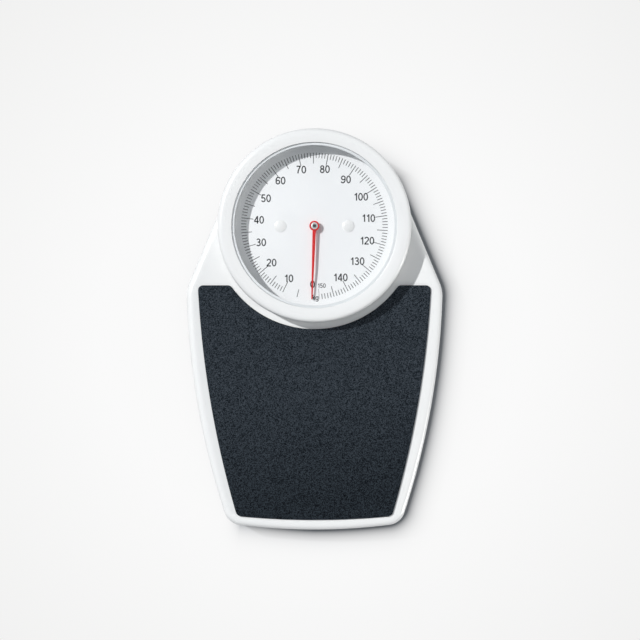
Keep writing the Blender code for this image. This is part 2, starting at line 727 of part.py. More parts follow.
def load_places():
    """Where the cover presses on the levers: inboard of each fulcrum, on the lever's line."""
    places = {}
    for side, word in ((-1, "left"), (1, "right")):
        for end, start, target in (("front", FRONT_FULCRUM, main_arm_end()),
                                   ("rear", REAR_FULCRUM, short_lever_end())):
            slope = (target[0] - start[0]) / (target[1] - start[1])
            step = math.copysign(LOAD_ARM, target[1] - start[1])
            places[end + "_" + word] = (side * (start[0] + slope * step), start[1] + step)
    return places


def make_saddles():
    top = COVER_UNDERSIDE - SEAT_GAP
    return [stirrup("load_saddle_" + where, spot, top, ZINC_STEEL) for where, spot in load_places().items()]


# Base pan and what is fixed to it

def post_places():
    return [(x, HEAD_Y + y) for x in (-POST_X, POST_X) for y in (-POST_Y, POST_Y)]


def make_pan():
    pan = sheet_shell("base_pan", base_outline(PAN_INSET), PAN_BOTTOM, PAN_TOP, ZINC_STEEL, True)
    centres = [(x, y, PAN_BOTTOM) for x, y in post_places()]
    holes = rod("cut_screw_holes", SCREW_RADIUS + SEAT_GAP, 2 * OVERRUN, centres, None, steps=TINY_STEPS)
    cut(pan, holes, wheel_slot("cut_pan_slot", WHEEL_BOTTOM - WHEEL_SLOT_GAP, PAN_TOP + OVERRUN))
    return pan


def make_feet():
    profile = [(0.0, FOOT_HEIGHT), (FOOT_RADIUS - FOOT_DRAFT, FOOT_HEIGHT), (FOOT_RADIUS, FOOT_EDGE),
               (FOOT_RADIUS - FOOT_EDGE, 0.0), (0.0, 0.0)]
    for end, spot in (("front", FRONT_FOOT_PLACE), ("rear", REAR_FOOT_PLACE)):
        for side, word in ((-1, "left"), (1, "right")):
            centre = (side * spot[0], spot[1])
            turned("foot_" + end + "_" + word, [profile], centre, FOOT_RUBBER, 2 * TINY_STEPS)


def make_fulcrums():
    for end, spot in (("front", FRONT_FULCRUM), ("rear", REAR_FULCRUM)):
        for side, word in ((-1, "left"), (1, "right")):
            stirrup("fulcrum_" + end + "_" + word, (side * spot[0], spot[1]), FLOOR_TOP, ZINC_STEEL)


def make_posts():
    top = GEAR_PLATE_BOTTOM - SEAT_GAP
    bore = SCREW_RADIUS + SEAT_GAP
    bore_top = FLOOR_TOP + POST_BORE_DEPTH
    profile = [(0.0, top), (POST_RADIUS, top), (POST_RADIUS, FLOOR_TOP), (bore, FLOOR_TOP),
               (bore, bore_top), (0.0, bore_top)]
    for number, centre in enumerate(post_places(), start=1):
        turned("gear_post_%d" % number, [profile], centre, ZINC_STEEL)


def make_post_screws():
    """The posts' screws, each with its head under the pan."""
    head_top = PAN_BOTTOM - SEAT_GAP
    head_bottom = head_top - SCREW_HEAD_HEIGHT
    tip = head_top + SCREW_LENGTH
    profile = [(0.0, tip), (SCREW_RADIUS, tip), (SCREW_RADIUS, head_top), (SCREW_HEAD_RADIUS, head_top),
               (SCREW_HEAD_RADIUS, head_bottom), (0.0, head_bottom)]
    for number, centre in enumerate(post_places(), start=1):
        turned("post_screw_%d" % number, [profile], centre, ZINC_STEEL, TINY_STEPS)


def make_gear_plate():
    outline = rectangle(GEAR_PLATE_HALF_WIDTH, GEAR_PLATE_HALF_LENGTH, GEAR_PLATE_CORNER)
    holes = [circle((0.0, 0.0), BUSH_RADIUS + SEAT_GAP, SMALL_STEPS)]
    holes += [circle((x, 0.0), RIVET_SHANK_RADIUS + SEAT_GAP, SMALL_STEPS) for x in (-RIVET_X, RIVET_X)]
    flat("gear_plate", [outline] + holes, GEAR_PLATE_BOTTOM, GEAR_PLATE_TOP, ZINC_STEEL, (0.0, HEAD_Y))


def make_dial():
    holes = [circle((0.0, 0.0), BUSH_RADIUS + SEAT_GAP, SMALL_STEPS)]
    holes += [circle((x, 0.0), RIVET_SHANK_RADIUS + SEAT_GAP, SMALL_STEPS) for x in (-RIVET_X, RIVET_X)]
    outline = circle((0.0, 0.0), DIAL_RADIUS, HEAD_STEPS)
    flat("dial_plate", [outline] + holes, DIAL_BOTTOM, DIAL_TOP, DIAL_PAINT, (0.0, HEAD_Y))


def make_dial_rivets():
    """Domed heads on the dial, with their tails formed under the gear plate."""
    head = DIAL_TOP + SEAT_GAP
    tail = GEAR_PLATE_BOTTOM - SEAT_GAP
    dome_radius = (RIVET_HEAD_RADIUS ** 2 + RIVET_HEAD_HEIGHT ** 2) / (2 * RIVET_HEAD_HEIGHT)
    dome_centre = (0.0, head + RIVET_HEAD_HEIGHT - dome_radius)
    rim = math.asin((dome_radius - RIVET_HEAD_HEIGHT) / dome_radius)
    dome = arc(dome_centre, dome_radius, math.pi / 2, rim, EDGE_STEPS)
    dome[0] = (0.0, dome[0][1])
    profile = dome + [(RIVET_SHANK_RADIUS, head), (RIVET_SHANK_RADIUS, tail), (RIVET_TAIL_RADIUS, tail),
                      (RIVET_TAIL_RADIUS, tail - RIVET_TAIL_HEIGHT), (0.0, tail - RIVET_TAIL_HEIGHT)]
    for side, word in ((-1, "left"), (1, "right")):
        turned("dial_rivet_" + word, [profile], (side * RIVET_X, HEAD_Y), ENAMEL)


def make_bush():
    flange_top = GEAR_PLATE_BOTTOM - SEAT_GAP
    flange_bottom = flange_top - BUSH_FLANGE_THICKNESS
    bore = SHAFT_RADIUS + RUN_GAP
    profile = [(BUSH_RADIUS, BUSH_TOP), (BUSH_RADIUS, flange_top), (BUSH_FLANGE_RADIUS, flange_top),
               (BUSH_FLANGE_RADIUS, flange_bottom), (bore, flange_bottom), (bore, BUSH_TOP)]
    turned("shaft_bush", [profile], (0.0, HEAD_Y), BRASS)


def make_bridge():
    """The bridge that carries the main spring over the levers' nose."""
    inner = BRIDGE_HALF_SPAN
    outer = inner + BRIDGE_WALL
    flange = outer + BRIDGE_FLANGE
    flange_top = FLOOR_TOP + BRIDGE_WALL
    right = [(inner, BRIDGE_TOP - BRIDGE_WALL), (inner, FLOOR_TOP), (flange, FLOOR_TOP),
             (flange, flange_top), (outer, flange_top), (outer, BRIDGE_TOP)]
    outline = right + mirrored(right)
    half = BRIDGE_DEPTH / 2
    bridge = upright("spring_bridge", outline, DRAW_Y - half, DRAW_Y + half, ZINC_STEEL)
    hole_radius = DRAWBAR_RADIUS + SEAT_GAP
    hole = rod("cut_bridge_hole", hole_radius, 2 * OVERRUN, [(0.0, DRAW_Y, BRIDGE_TOP)], None)
    cut(bridge, hole)


def make_spring():
    """The main spring, an open coil between the bridge and the drawbar's cap."""
    start = BRIDGE_TOP + SEAT_GAP + SPRING_WIRE_RADIUS
    end = SPRING_CAP_BOTTOM - SEAT_GAP - SPRING_WIRE_RADIUS
    steps = SPRING_TURNS * SPRING_STEPS
    curve = bpy.data.curves.new("main_spring", "CURVE")
    curve.dimensions = "3D"
    curve.bevel_depth = SPRING_WIRE_RADIUS
    curve.bevel_resolution = 1
    curve.use_fill_caps = True
    spline = curve.splines.new("POLY")
    spline.points.add(steps)
    for step, point in enumerate(spline.points):
        x, y = polar((0.0, 0.0), SPRING_COIL_RADIUS, 2 * math.pi * step / SPRING_STEPS)
        point.co = (x, y, start + (end - start) * step / steps, 1.0)
    mesh = curve_mesh("main_spring", curve)
    place("main_spring", mesh, SPRING_STEEL, (0.0, DRAW_Y, 0.0))


def make_crank_bracket():
    """A U-shaped bracket with the pin on which the bell crank turns."""
    inner = CRANK_THICKNESS / 2 + CRANK_SIDE_GAP
    outer = inner + CRANK_BRACKET_WALL
    top = CRANK_Z + CRANK_BRACKET_RISE
    right = [(inner, FLOOR_TOP + CRANK_BRACKET_WALL), (inner, top), (outer, top), (outer, FLOOR_TOP)]
    outline = [(CRANK_X + x, z) for x, z in right + mirrored(right)]
    half = CRANK_BRACKET_DEPTH / 2
    bracket = upright("crank_bracket", outline, CRANK_Y - half, CRANK_Y + half, ZINC_STEEL)
    axis = [(CRANK_X, CRANK_Y, CRANK_Z)]
    reach = 2 * (outer + OVERRUN)
    cut(bracket, rod("cut_bracket_pin", CRANK_PIN_RADIUS + RUN_GAP, reach, axis, None, lying=True))
    pin_length = 2 * (outer + CRANK_PIN_END)
    rod("crank_pin", CRANK_PIN_RADIUS, pin_length, axis, HARD_STEEL, lying=True)


def make_rack_guide():
    """An angle under the gear plate whose lip carries the rack and whose wall keeps it in mesh."""
    wall = RACK_BACK + PINION_RADIUS + TOOTH_DEDENDUM + SEAT_GAP
    lip_top = RACK_BOTTOM - SEAT_GAP
    top = GEAR_PLATE_BOTTOM - SEAT_GAP
    outer = wall + GUIDE_WALL
    outline = [(wall, top), (wall, lip_top), (wall - GUIDE_LIP + GUIDE_WALL, lip_top),
               (wall - GUIDE_LIP + GUIDE_WALL, lip_top - GUIDE_WALL), (outer, lip_top - GUIDE_WALL),
               (outer, top - GUIDE_WALL), (outer + GUIDE_FLANGE, top - GUIDE_WALL),
               (outer + GUIDE_FLANGE, top)]
    middle = HEAD_Y + GUIDE_OFFSET_Y
    half = GUIDE_LENGTH / 2
    upright("rack_guide", outline, middle - half, middle + half, ZINC_STEEL)


def make_zero_strap():
    """The strap through which the zero wheel lifts one edge of the spring bridge."""
    half = STRAP_WIDTH / 2
    front = DRAW_Y - STRAP_FRONT
    rear = WHEEL_Y + half
    outline = [(-STRAP_OFFSET + half, front), (-STRAP_OFFSET - half, front),
               (-STRAP_OFFSET - half, STRAP_BEND_Y), (-half, WHEEL_Y), (-half, rear), (half, rear),
               (half, WHEEL_Y - half), (-STRAP_OFFSET + half, STRAP_BEND_Y - half)]
    hole = circle((0.0, WHEEL_Y), WHEEL_SPINDLE_RADIUS + SEAT_GAP, SMALL_STEPS)
    top = STRAP_BOTTOM + STRAP_THICKNESS
    flat("zero_strap", [outline, hole], STRAP_BOTTOM, top, SPRING_STEEL)
    length = top + WHEEL_SPINDLE_END - FLOOR_TOP
    spot = (0.0, WHEEL_Y, FLOOR_TOP + length / 2)
    rod("zero_spindle", WHEEL_SPINDLE_RADIUS, length, [spot], HARD_STEEL)


# Levers

def main_arm_end():
    """Where the right arm's middle line ends, on its way from the fulcrum to the drawbar."""
    share = (ARM_END_Y - FRONT_FULCRUM[1]) / (DRAW_Y - FRONT_FULCRUM[1])
    return (FRONT_FULCRUM[0] * (1 - share), ARM_END_Y)


def short_lever_end():
    """Beside the right arm, as far from the front fulcrum as from the rear one."""
    y = (FRONT_FULCRUM[1] + REAR_FULCRUM[1]) / 2
    share = (y - FRONT_FULCRUM[1]) / (DRAW_Y - FRONT_FULCRUM[1])
    return (FRONT_FULCRUM[0] * (1 - share) + TOE_STANDOFF, y)


def lever_bar(name, start, end, extra_top):
    """A bar on edge, from past its fulcrum to its end, with holes for its two knife pins."""
    turn = bearing(start, end)
    tail = polar(start, -LEVER_TAIL, turn)
    length = math.dist(tail, end)
    bar = block(name, (0.0, 0.0, 0.0), (length, LEVER_WALL, LEVER_HEIGHT + extra_top), LEVER_STEEL)
    middle = ((tail[0] + end[0]) / 2, (tail[1] + end[1]) / 2)
    bar.location = (middle[0], middle[1], LEVER_BOTTOM + (LEVER_HEIGHT + extra_top) / 2)
    bar.rotation_euler = (0.0, 0.0, turn)
    slope = (end[0] - start[0]) / (end[1] - start[1])
    step = math.copysign(LOAD_ARM, end[1] - start[1])
    pins = [(start[0], start[1], KNIFE_HEIGHT), (start[0] + slope * step, start[1] + step, KNIFE_HEIGHT)]
    bore = KNIFE_RADIUS + SEAT_GAP
    cut(bar, rod("cut_pins_" + name, bore, KNIFE_LENGTH, pins, None, lying=True))
    knives = [rod(label + "_" + name, KNIFE_RADIUS, KNIFE_LENGTH, [pin], HARD_STEEL, lying=True)
              for label, pin in zip(("fulcrum_knife", "load_knife"), pins)]
    return [bar] + knives


def make_main_lever():
    end = main_arm_end()
    pieces = [make_nose()]
    for side, word in ((-1, "left"), (1, "right")):
        start = (side * FRONT_FULCRUM[0], FRONT_FULCRUM[1])
        pieces += lever_bar("main_lever_" + word, start, (side * end[0], end[1]), 0.0)
    return pieces


def make_nose():
    """The plate under both arms' ends, with a tongue that presses on the drawbar's foot."""
    slope = FRONT_FULCRUM[0] / (DRAW_Y - FRONT_FULCRUM[1])
    root = slope * (DRAW_Y - NOSE_START_Y) + LEVER_WALL
    tongue = NOSE_TONGUE_WIDTH / 2
    end_y = DRAW_Y + NOSE_TONGUE_END
    right = [(root, NOSE_START_Y), (tongue, ARM_END_Y), (tongue, end_y)]
    hole = circle((0.0, DRAW_Y), DRAWBAR_RADIUS + NOSE_HOLE_CLEARANCE, SMALL_STEPS)
    return flat("main_lever_nose", [right + mirrored(right), hole], NOSE_BOTTOM, NOSE_TOP, LEVER_STEEL)


def make_short_lever(side, word):
    end = short_lever_end()
    start = (side * REAR_FULCRUM[0], REAR_FULCRUM[1])
    extra = SEAT_GAP + TOE_BITE
    pieces = lever_bar("short_lever_" + word, start, (side * end[0], end[1]), extra)
    toe_bottom = LEVER_BOTTOM + LEVER_HEIGHT + SEAT_GAP
    outer_x = end[0] + LEVER_WALL
    edges = sorted((side * outer_x, side * (outer_x - TOE_LENGTH)))
    half = TOE_WIDTH / 2
    low = (edges[0], end[1] - half, toe_bottom)
    high = (edges[1], end[1] + half, toe_bottom + TOE_THICKNESS)
    join(pieces[0], block("join_toe_" + word, low, high, None))
    return pieces


# Drawbar, crank, rack and pointer

def make_drawbar():
    foot_bottom = FOOT_PLATE_TOP - FOOT_PLATE_THICKNESS
    profile = [(0.0, SPRING_CAP_TOP), (SPRING_CAP_RADIUS, SPRING_CAP_TOP),
               (SPRING_CAP_RADIUS, SPRING_CAP_BOTTOM), (DRAWBAR_RADIUS, SPRING_CAP_BOTTOM),
               (DRAWBAR_RADIUS, foot_bottom + FOOT_PLATE_THICKNESS / 2),
               (0.0, foot_bottom + FOOT_PLATE_THICKNESS / 2)]
    bar = turned("drawbar", [profile], (0.0, DRAW_Y), ZINC_STEEL)
    low = (-FOOT_PLATE_LEFT, DRAW_Y - FOOT_PLATE_FRONT, foot_bottom)
    high = (FOOT_PLATE_RIGHT, CRANK_TIP_Y + FOOT_PLATE_OVERLAP, FOOT_PLATE_TOP)
    join(bar, block("join_foot_plate", low, high, None))
    return [bar]


def crank_outline():
    """The crank in its own plane: short arm towards the drawbar, long arm up to the rack."""
    tip = CRANK_TIP_RADIUS
    half = CRANK_FINGER_WIDTH / 2
    top = CRANK_LONG_ARM + CRANK_FINGER_OVERHANG
    points = arc((-CRANK_SHORT_ARM, 0.0), tip, 1.5 * math.pi, 0.5 * math.pi, EDGE_STEPS)
    points += [(-CRANK_HUB_RADIUS, tip), (-half, CRANK_HUB_RADIUS), (-half, top), (half, top)]
    points += arc((0.0, 0.0), CRANK_HUB_RADIUS, 0.4 * math.pi, -0.75 * math.pi, 2 * EDGE_STEPS)
    points += [(-CRANK_HUB_RADIUS, CRANK_ARM_RELIEF - tip), (tip - CRANK_SHORT_ARM, CRANK_ARM_RELIEF - tip)]
    cos, sin = math.cos(CRANK_REST_LEAN), math.sin(CRANK_REST_LEAN)
    return [(y * cos + z * sin, z * cos - y * sin) for y, z in points]


def make_crank():
    half = CRANK_THICKNESS / 2
    hole = circle((0.0, 0.0), CRANK_PIN_RADIUS + RUN_GAP, SMALL_STEPS)
    crank = flat("bell_crank", [crank_outline(), hole], -half, half, LEVER_STEEL)
    crank.location = (CRANK_X, CRANK_Y, CRANK_Z)
    crank.rotation_euler = (math.pi / 2, 0.0, math.pi / 2)
    return [crank]


def tooth(foot, tip, middle):
    """Four points of one tooth: how far along, and whether at its tip."""
    half_foot = foot / 2
    half_tip = tip / 2
    return [(middle - half_foot, False), (middle - half_tip, True),
            (middle + half_tip, True), (middle + half_foot, False)]


def make_rack():
    root = PINION_RADIUS + TOOTH_DEDENDUM
    tip = PINION_RADIUS - TOOTH_ADDENDUM
    back = root + RACK_BACK
    finger_y = CRANK_Y + CRANK_LONG_ARM * math.sin(CRANK_REST_LEAN)
    teeth = math.ceil(RACK_TRAVEL / TOOTH_PITCH) + RACK_SPARE_TEETH
    left = []
    for number in range(-RACK_SPARE_TEETH, teeth + 1):
        middle = HEAD_Y + number * TOOTH_PITCH
        for y, at_tip in tooth(TOOTH_PITCH * TOOTH_FOOT_SHARE, TOOTH_PITCH * TOOTH_TIP_SHARE, middle):
            left.append((tip if at_tip else root, y))
    end = left[-1][1] + TOOTH_PITCH
    slot_half_x = CRANK_THICKNESS / 2 + RACK_SLOT_SIDE_GAP
    lean_reach = RACK_THICKNESS / 2 * math.tan(CRANK_REST_LEAN)
    slot_half_y = CRANK_FINGER_WIDTH / 2 / math.cos(CRANK_REST_LEAN) + lean_reach + RACK_SLOT_END_GAP
    start = finger_y - slot_half_y - RACK_TAIL
    outline = [(root, start)] + left + [(root, end), (back, end), (back, start)]
    slot = [(CRANK_X + sx * slot_half_x, finger_y + sy * slot_half_y)
            for sx, sy in ((-1, -1), (1, -1), (1, 1), (-1, 1))]
    return [flat("rack", [outline, slot], RACK_BOTTOM, RACK_BOTTOM + RACK_THICKNESS, BRASS)]


def pinion_outline():
    """Tooth gaps face the rack along +X at rest."""
    root = PINION_RADIUS - PINION_DEDENDUM
    tip = PINION_RADIUS + TOOTH_ADDENDUM
    pitch = 2 * math.pi / PINION_TEETH
    points = []
    for number in range(PINION_TEETH):
        middle = (2 * number + 1) * pitch / 2
        for turn, at_tip in tooth(pitch * TOOTH_FOOT_SHARE, pitch * TOOTH_TIP_SHARE, middle):
            points.append(polar((0.0, 0.0), tip if at_tip else root, turn))
    return points


def make_pinion_shaft():
    centre = (0.0, HEAD_Y)
    bottom = PINION_BOTTOM - SHAFT_FOOT
    profile = [(0.0, POINTER_TOP), (SHAFT_RADIUS, POINTER_TOP), (SHAFT_RADIUS, bottom), (0.0, bottom)]
    shaft = turned("pinion_shaft", [profile], centre, BRASS)
    top = PINION_BOTTOM + PINION_HEIGHT
    join(shaft, flat("join_pinion", [pinion_outline()], PINION_BOTTOM, top, None, centre))
    return shaft


def pointer_outline():
    half_root = POINTER_ROOT_WIDTH / 2
    half_tip = POINTER_TIP_WIDTH / 2
    spread = math.asin(half_root / POINTER_HUB_RADIUS)
    down = -math.pi / 2
    hub = arc((0.0, 0.0), POINTER_HUB_RADIUS, down + spread, down + 2 * math.pi - spread, 2 * SMALL_STEPS)
    return hub + [(-half_tip, -POINTER_LENGTH), (half_tip, -POINTER_LENGTH)]


def make_pointer():
    """The pointer, which stands at zero when it is this far clockwise of straight down."""
    centre = (0.0, HEAD_Y)
    hole = circle((0.0, 0.0), SHAFT_RADIUS + SEAT_GAP, SMALL_STEPS)
    pointer = flat("pointer", [pointer_outline(), hole], POINTER_BOTTOM, POINTER_TOP, POINTER_PAINT, centre)
    pointer.rotation_euler = (0.0, 0.0, -POINTER_ZERO)
    base = POINTER_TOP + SEAT_GAP
    top = base + HUB_CAP_HEIGHT
    profile = [(0.0, top), (HUB_CAP_RADIUS - HUB_CAP_EDGE, top), (HUB_CAP_RADIUS, top - HUB_CAP_EDGE),
               (HUB_CAP_RADIUS, base), (0.0, base)]
    cap = turned("pointer_cap", [profile], centre, ZINC_STEEL, 2 * TINY_STEPS)
    return [pointer, cap]


# Zero wheel

def wheel_outline():
    points = []
    for number in range(WHEEL_RIBS):
        for part, radius in ((0.0, WHEEL_RADIUS), (0.5, WHEEL_RADIUS - WHEEL_GROOVE)):
            points.append(polar((0.0, 0.0), radius, 2 * math.pi * (number + part) / WHEEL_RIBS))
    return points


def make_wheel():
    centre = (0.0, WHEEL_Y)
    top = WHEEL_BOTTOM + WHEEL_THICKNESS
    wheel = flat("zero_wheel", [wheel_outline()], WHEEL_BOTTOM, top, WHEEL_PLASTIC, centre)
    overlap = WHEEL_THICKNESS / 2
    boss_height = WHEEL_BOSS_HEIGHT + overlap
    boss_at = (0.0, WHEEL_Y, WHEEL_BOSS_TOP - boss_height / 2)
    join(wheel, rod("join_wheel_boss", WHEEL_BOSS_RADIUS, boss_height, [boss_at], None))
    bore = WHEEL_SPINDLE_RADIUS + RUN_GAP
    depth = 2 * (WHEEL_BOSS_TOP - WHEEL_BOTTOM)
    bore_at = [(0.0, WHEEL_Y, WHEEL_BOTTOM)]
    cut(wheel, rod("cut_wheel_bore", bore, depth, bore_at, None))
    return [wheel]


def build():
    make_pan()
    make_feet()
    make_fulcrums()
    make_posts()
    make_post_screws()
    make_gear_plate()
    make_dial()
    make_dial_rivets()
    make_bush()
    make_bridge()
    make_spring()
    make_crank_bracket()
    make_rack_guide()
    make_zero_strap()
    carrier("cover_frame", (0.0, 0.0, PLATFORM_HEIGHT),
            [make_cover(), make_mat(), make_housing()] + make_dial_window() + make_saddles())
    carrier("main_lever_axis", (0.0, FRONT_FULCRUM[1], KNIFE_HEIGHT), make_main_lever())
    for side, word in ((-1, "left"), (1, "right")):
        axis = (side * REAR_FULCRUM[0], REAR_FULCRUM[1], KNIFE_HEIGHT)
        carrier("short_lever_axis_" + word, axis, make_short_lever(side, word))
    carrier("drawbar_axis", (0.0, DRAW_Y, SPRING_CAP_TOP), make_drawbar())
    carrier("crank_axis", (CRANK_X, CRANK_Y, CRANK_Z), make_crank())
    carrier("rack_axis", (PINION_RADIUS, HEAD_Y, RACK_BOTTOM), make_rack())
    carrier("pointer_axis", (0.0, HEAD_Y, POINTER_BOTTOM), [make_pinion_shaft()] + make_pointer())
    carrier("zero_wheel_axis", (0.0, WHEEL_Y, WHEEL_BOTTOM), make_wheel())


build()
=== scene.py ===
"""The looks of a mechanical personal scale with a round dial head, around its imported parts.

Metres, +Z up. The dial is at +Y and the front at -Y. Outlines are lists of (x, y) points.
Sections are lists of (radius, height) points that are spun round an upright line.
"""

import json
import math

import bpy
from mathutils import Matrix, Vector


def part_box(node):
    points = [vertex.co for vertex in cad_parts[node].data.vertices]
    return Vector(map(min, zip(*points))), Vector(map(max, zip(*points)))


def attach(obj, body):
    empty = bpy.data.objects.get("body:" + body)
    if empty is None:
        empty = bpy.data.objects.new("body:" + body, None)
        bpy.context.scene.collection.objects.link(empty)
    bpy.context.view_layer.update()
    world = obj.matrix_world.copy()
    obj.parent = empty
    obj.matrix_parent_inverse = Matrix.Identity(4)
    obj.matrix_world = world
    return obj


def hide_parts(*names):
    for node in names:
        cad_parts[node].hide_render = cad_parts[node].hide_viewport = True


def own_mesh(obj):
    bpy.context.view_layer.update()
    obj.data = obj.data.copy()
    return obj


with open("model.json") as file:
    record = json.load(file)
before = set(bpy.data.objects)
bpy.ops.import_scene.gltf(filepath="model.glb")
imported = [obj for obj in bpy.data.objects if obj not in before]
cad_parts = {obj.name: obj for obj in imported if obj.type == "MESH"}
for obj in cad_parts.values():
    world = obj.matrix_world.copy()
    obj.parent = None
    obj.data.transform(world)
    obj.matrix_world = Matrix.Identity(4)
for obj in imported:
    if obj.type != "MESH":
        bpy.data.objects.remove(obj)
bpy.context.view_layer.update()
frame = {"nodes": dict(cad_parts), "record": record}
NODES = frame["nodes"]


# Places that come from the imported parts

def middle(node):
    low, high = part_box(node)
    return (low + high) / 2


def top_of(node):
    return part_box(node)[1].z


def bottom_of(node):
    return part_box(node)[0].z


def half_width(node):
    low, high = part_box(node)
    return (high.x - low.x) / 2


HEAD_X = 0.0
HEAD_Y = middle("dial_plate").y
HEAD = (HEAD_X, HEAD_Y)
FRONT_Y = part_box("platform_cover")[0].y
COVER_TOP = top_of("platform_cover")
COVER_BOTTOM = bottom_of("platform_cover")
DIAL_TOP = top_of("dial_plate")

# Outline of the cover, seen from above
HEAD_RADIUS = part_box("platform_cover")[1].y - HEAD_Y
SHOULDER_LEAN = math.radians(22.7)
SHOULDER_RADIUS = 0.041
SIDE_RADIUS = 0.884
SIDE_REACH = 0.1481
SIDE_WIDEST_Y = 0.0657
CORNER_RADIUS = 0.0207
FRONT_RADIUS = 0.690

# Pressed cover
SHEET = 0.0010
COVER_ROUND = 0.010
COVER_ROUND_STEPS = 12
COVER_SQUARENESS = 0.62
COVER_SHRINK = 0.00003
HEM_RADIUS = 0.0014
WELL_RADIUS = 0.0993
SLOT_HALF_WIDTH = 0.0128
SLOT_TOP = 0.0208

# Pressed base pan
PAN_INSET = 0.004
PAN_BOTTOM = bottom_of("base_pan")
PAN_TOP = top_of("base_pan")
PAN_ROUND = 0.003
PAN_SLOT_BOTTOM = bottom_of("zero_wheel") - 0.0015
SCREW_HOLE_RADIUS = 0.0017
SCREW_HOLE_DEPTH = 4 * SHEET
SCREWS = 4
BEAD_HALF_WIDTH = 0.0045
BEAD_DEPTH = 0.0006
BEAD_END_ROUND = 0.98 * BEAD_HALF_WIDTH
BEAD_FRONT_Y = -0.165
BEAD_REAR_Y = 0.030
BEAD_X = (-0.052, 0.0, 0.052)
BEAD_RING_RADIUS = 0.076

# Mat
MAT_TOP = top_of("platform_mat")
MAT_BOTTOM = bottom_of("platform_mat")
MAT_SIDE_RADIUS = 1.1282
MAT_SIDE_REACH = 0.1354
MAT_SIDE_WIDEST_Y = 0.1061
MAT_REAR_Y = 0.0515
MAT_FRONT_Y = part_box("platform_mat")[0].y - 0.0005
MAT_FRONT_RADIUS = 0.900
MAT_CUTOUT_RADIUS = 0.1183
MAT_CORNER_ROUND = 0.0055
MAT_FRONT_ROUND = 0.0070
MAT_EDGE_ROUND = 0.0007
MAT_EDGE_STEPS = 4

# Bezel and lens ring
BEZEL_RADIUS = half_width("bezel_ring")
BEZEL_TOP = top_of("bezel_ring")
BEZEL_BOTTOM = bottom_of("bezel_ring")
BEZEL_CROWN_RADIUS = 0.1015
BEZEL_CROWN_DEPTH = 0.0080
BEZEL_CROWN_POWER = 3.0
BEZEL_WALL = 0.0024
BEZEL_EDGE_ROUND = 0.0006
BEZEL_LIP_ROUND = 0.0005
BEZEL_LIP_EASE = 1.6
BEZEL_INNER_RADIUS = 0.0946
BEZEL_INNER_TOP = 0.0731
BEZEL_RIB_Z = 0.062
COLLAR_FIT_RADIUS = 0.1053
LENS_FIT_RADIUS = 0.1007
LENS_BOTTOM = bottom_of("dial_lens")
OVER_LENS = top_of("dial_lens") + 0.0003
LENS_RING_INNER = 0.0913
LENS_RING_OUTER = 0.0943
LENS_RING_TOP = top_of("lens_ring") - 0.0006
LENS_RING_SLOPE = 0.0001
LENS_RING_ROUND = 0.0003

# Dial print
KILOS = 150
ZERO_TURN = math.radians(2.0)
KILO_TURN = math.radians(354.2) / KILOS
TICK_OUTER = 0.0842
TICK_ONE = 0.0060
TICK_FIVE = 0.0122
TICK_TEN = 0.0135
TICK_WIDTH = 0.00074
TICK_FIRST = 10
NUMBER_RADIUS = 0.0634
NUMBER_SHIFT = 0.0006
NUMBER_RISE_ABOVE = 0.0033
NUMBER_RISE_BELOW = 0.0049
NUMBER_HEIGHT = 0.0087
INK_HEIGHT = 0.00006

# Figures outside the ring of numbers: text, place from the dial's centre, height
LOOSE_FIGURES = (
    ("0", (-0.0022, -0.0669), 0.0088), (str(KILOS), (0.0083, -0.0684), 0.0050),
    ("kg", (0.0014, -0.0818), 0.0060))

# Figures, drawn with a broad pen in a box one unit high
PEN = 0.156
FIGURE_WIDTH = 0.60
FIGURE_STEP = 0.69
NARROW_STEPS = {"1": 0.56, "k": 0.54}

# Rivets
RIVET_SEAT = DIAL_TOP + 0.0003
RIVET_DOME_DROP = 0.0009
RIVET_SHANK_RADIUS = 0.0020
RIVET_TAIL_RADIUS = 0.0032
RIVET_TAIL_GAP = 0.0003

# Pointer and its pin
HUB_RADIUS = 0.0058
HUB_STEPS = 40
HUB_RING_INNER = 0.0041
HUB_RING_OUTER = 0.0056
HUB_RING_HEIGHT = 0.0009
HUB_RING_ROUND = 0.0003
HAND_ROOT_HALF = 0.0020
HAND_TIP_HALF = 0.00075
HAND_TIP_REACH = 2.1 * HAND_TIP_HALF
HAND_BEND_START = 0.048
HAND_BEND_DROP = 0.0021
HAND_EDGE_ROUND = 0.00015
PIN_DOME = 0.0006
PIN_GROOVE_SIZE = (0.0010, 0.0062, 0.0012)
PIN_GROOVE_TURN = 0.35
PIN_DARK_RADIUS = 0.0022
PIN_PALE_RADIUS = 0.0032

# Feet; the underside runs from the rim inwards as shares of the radius and heights off the ground
FOOT_FLARE = 0.0012
FOOT_CHAMFER = 0.0009
FOOT_TOP_ROUND = 0.0005
FOOT_SIDE_ROUND = 0.0006
FOOT_RIM_ROUND = 0.0004
FOOT_GRIP_ROUND = 0.0003
FOOT_UNDERSIDE = ((0.72, 0.0), (0.66, 0.0008), (0.46, 0.0008), (0.40, 0.0), (0.26, 0.0), (0.22, 0.0015))

# Main spring
SPRING_WIRE = 0.0011
SPRING_WIRE_SIDES = 12
SPRING_TURNS = 5
SPRING_STEPS = 18

# Fineness
HEAD_STEPS = 192
HEAD_ARC_STEPS = 48
SHOULDER_STEPS = 10
SIDE_STEPS = 26
CORNER_STEPS = 14
FRONT_STEPS = 14
ROUND_STEPS = 6
SMALL_STEPS = 48
OVAL_STEPS = 20
CROWN_STEPS = 18
DOME_STEPS = 10
SMOOTH_ANGLE = math.radians(32)
MERGE = 0.000002


# Plane geometry

def polar(centre, radius, turn):
    return (centre[0] + radius * math.cos(turn), centre[1] + radius * math.sin(turn))


def arc(centre, radius, start, end, steps):
    turns = [start + (end - start) * step / steps for step in range(steps + 1)]
    return [polar(centre, radius, turn) for turn in turns]


def bearing(start, end):
    return math.atan2(end[1] - start[1], end[0] - start[0])


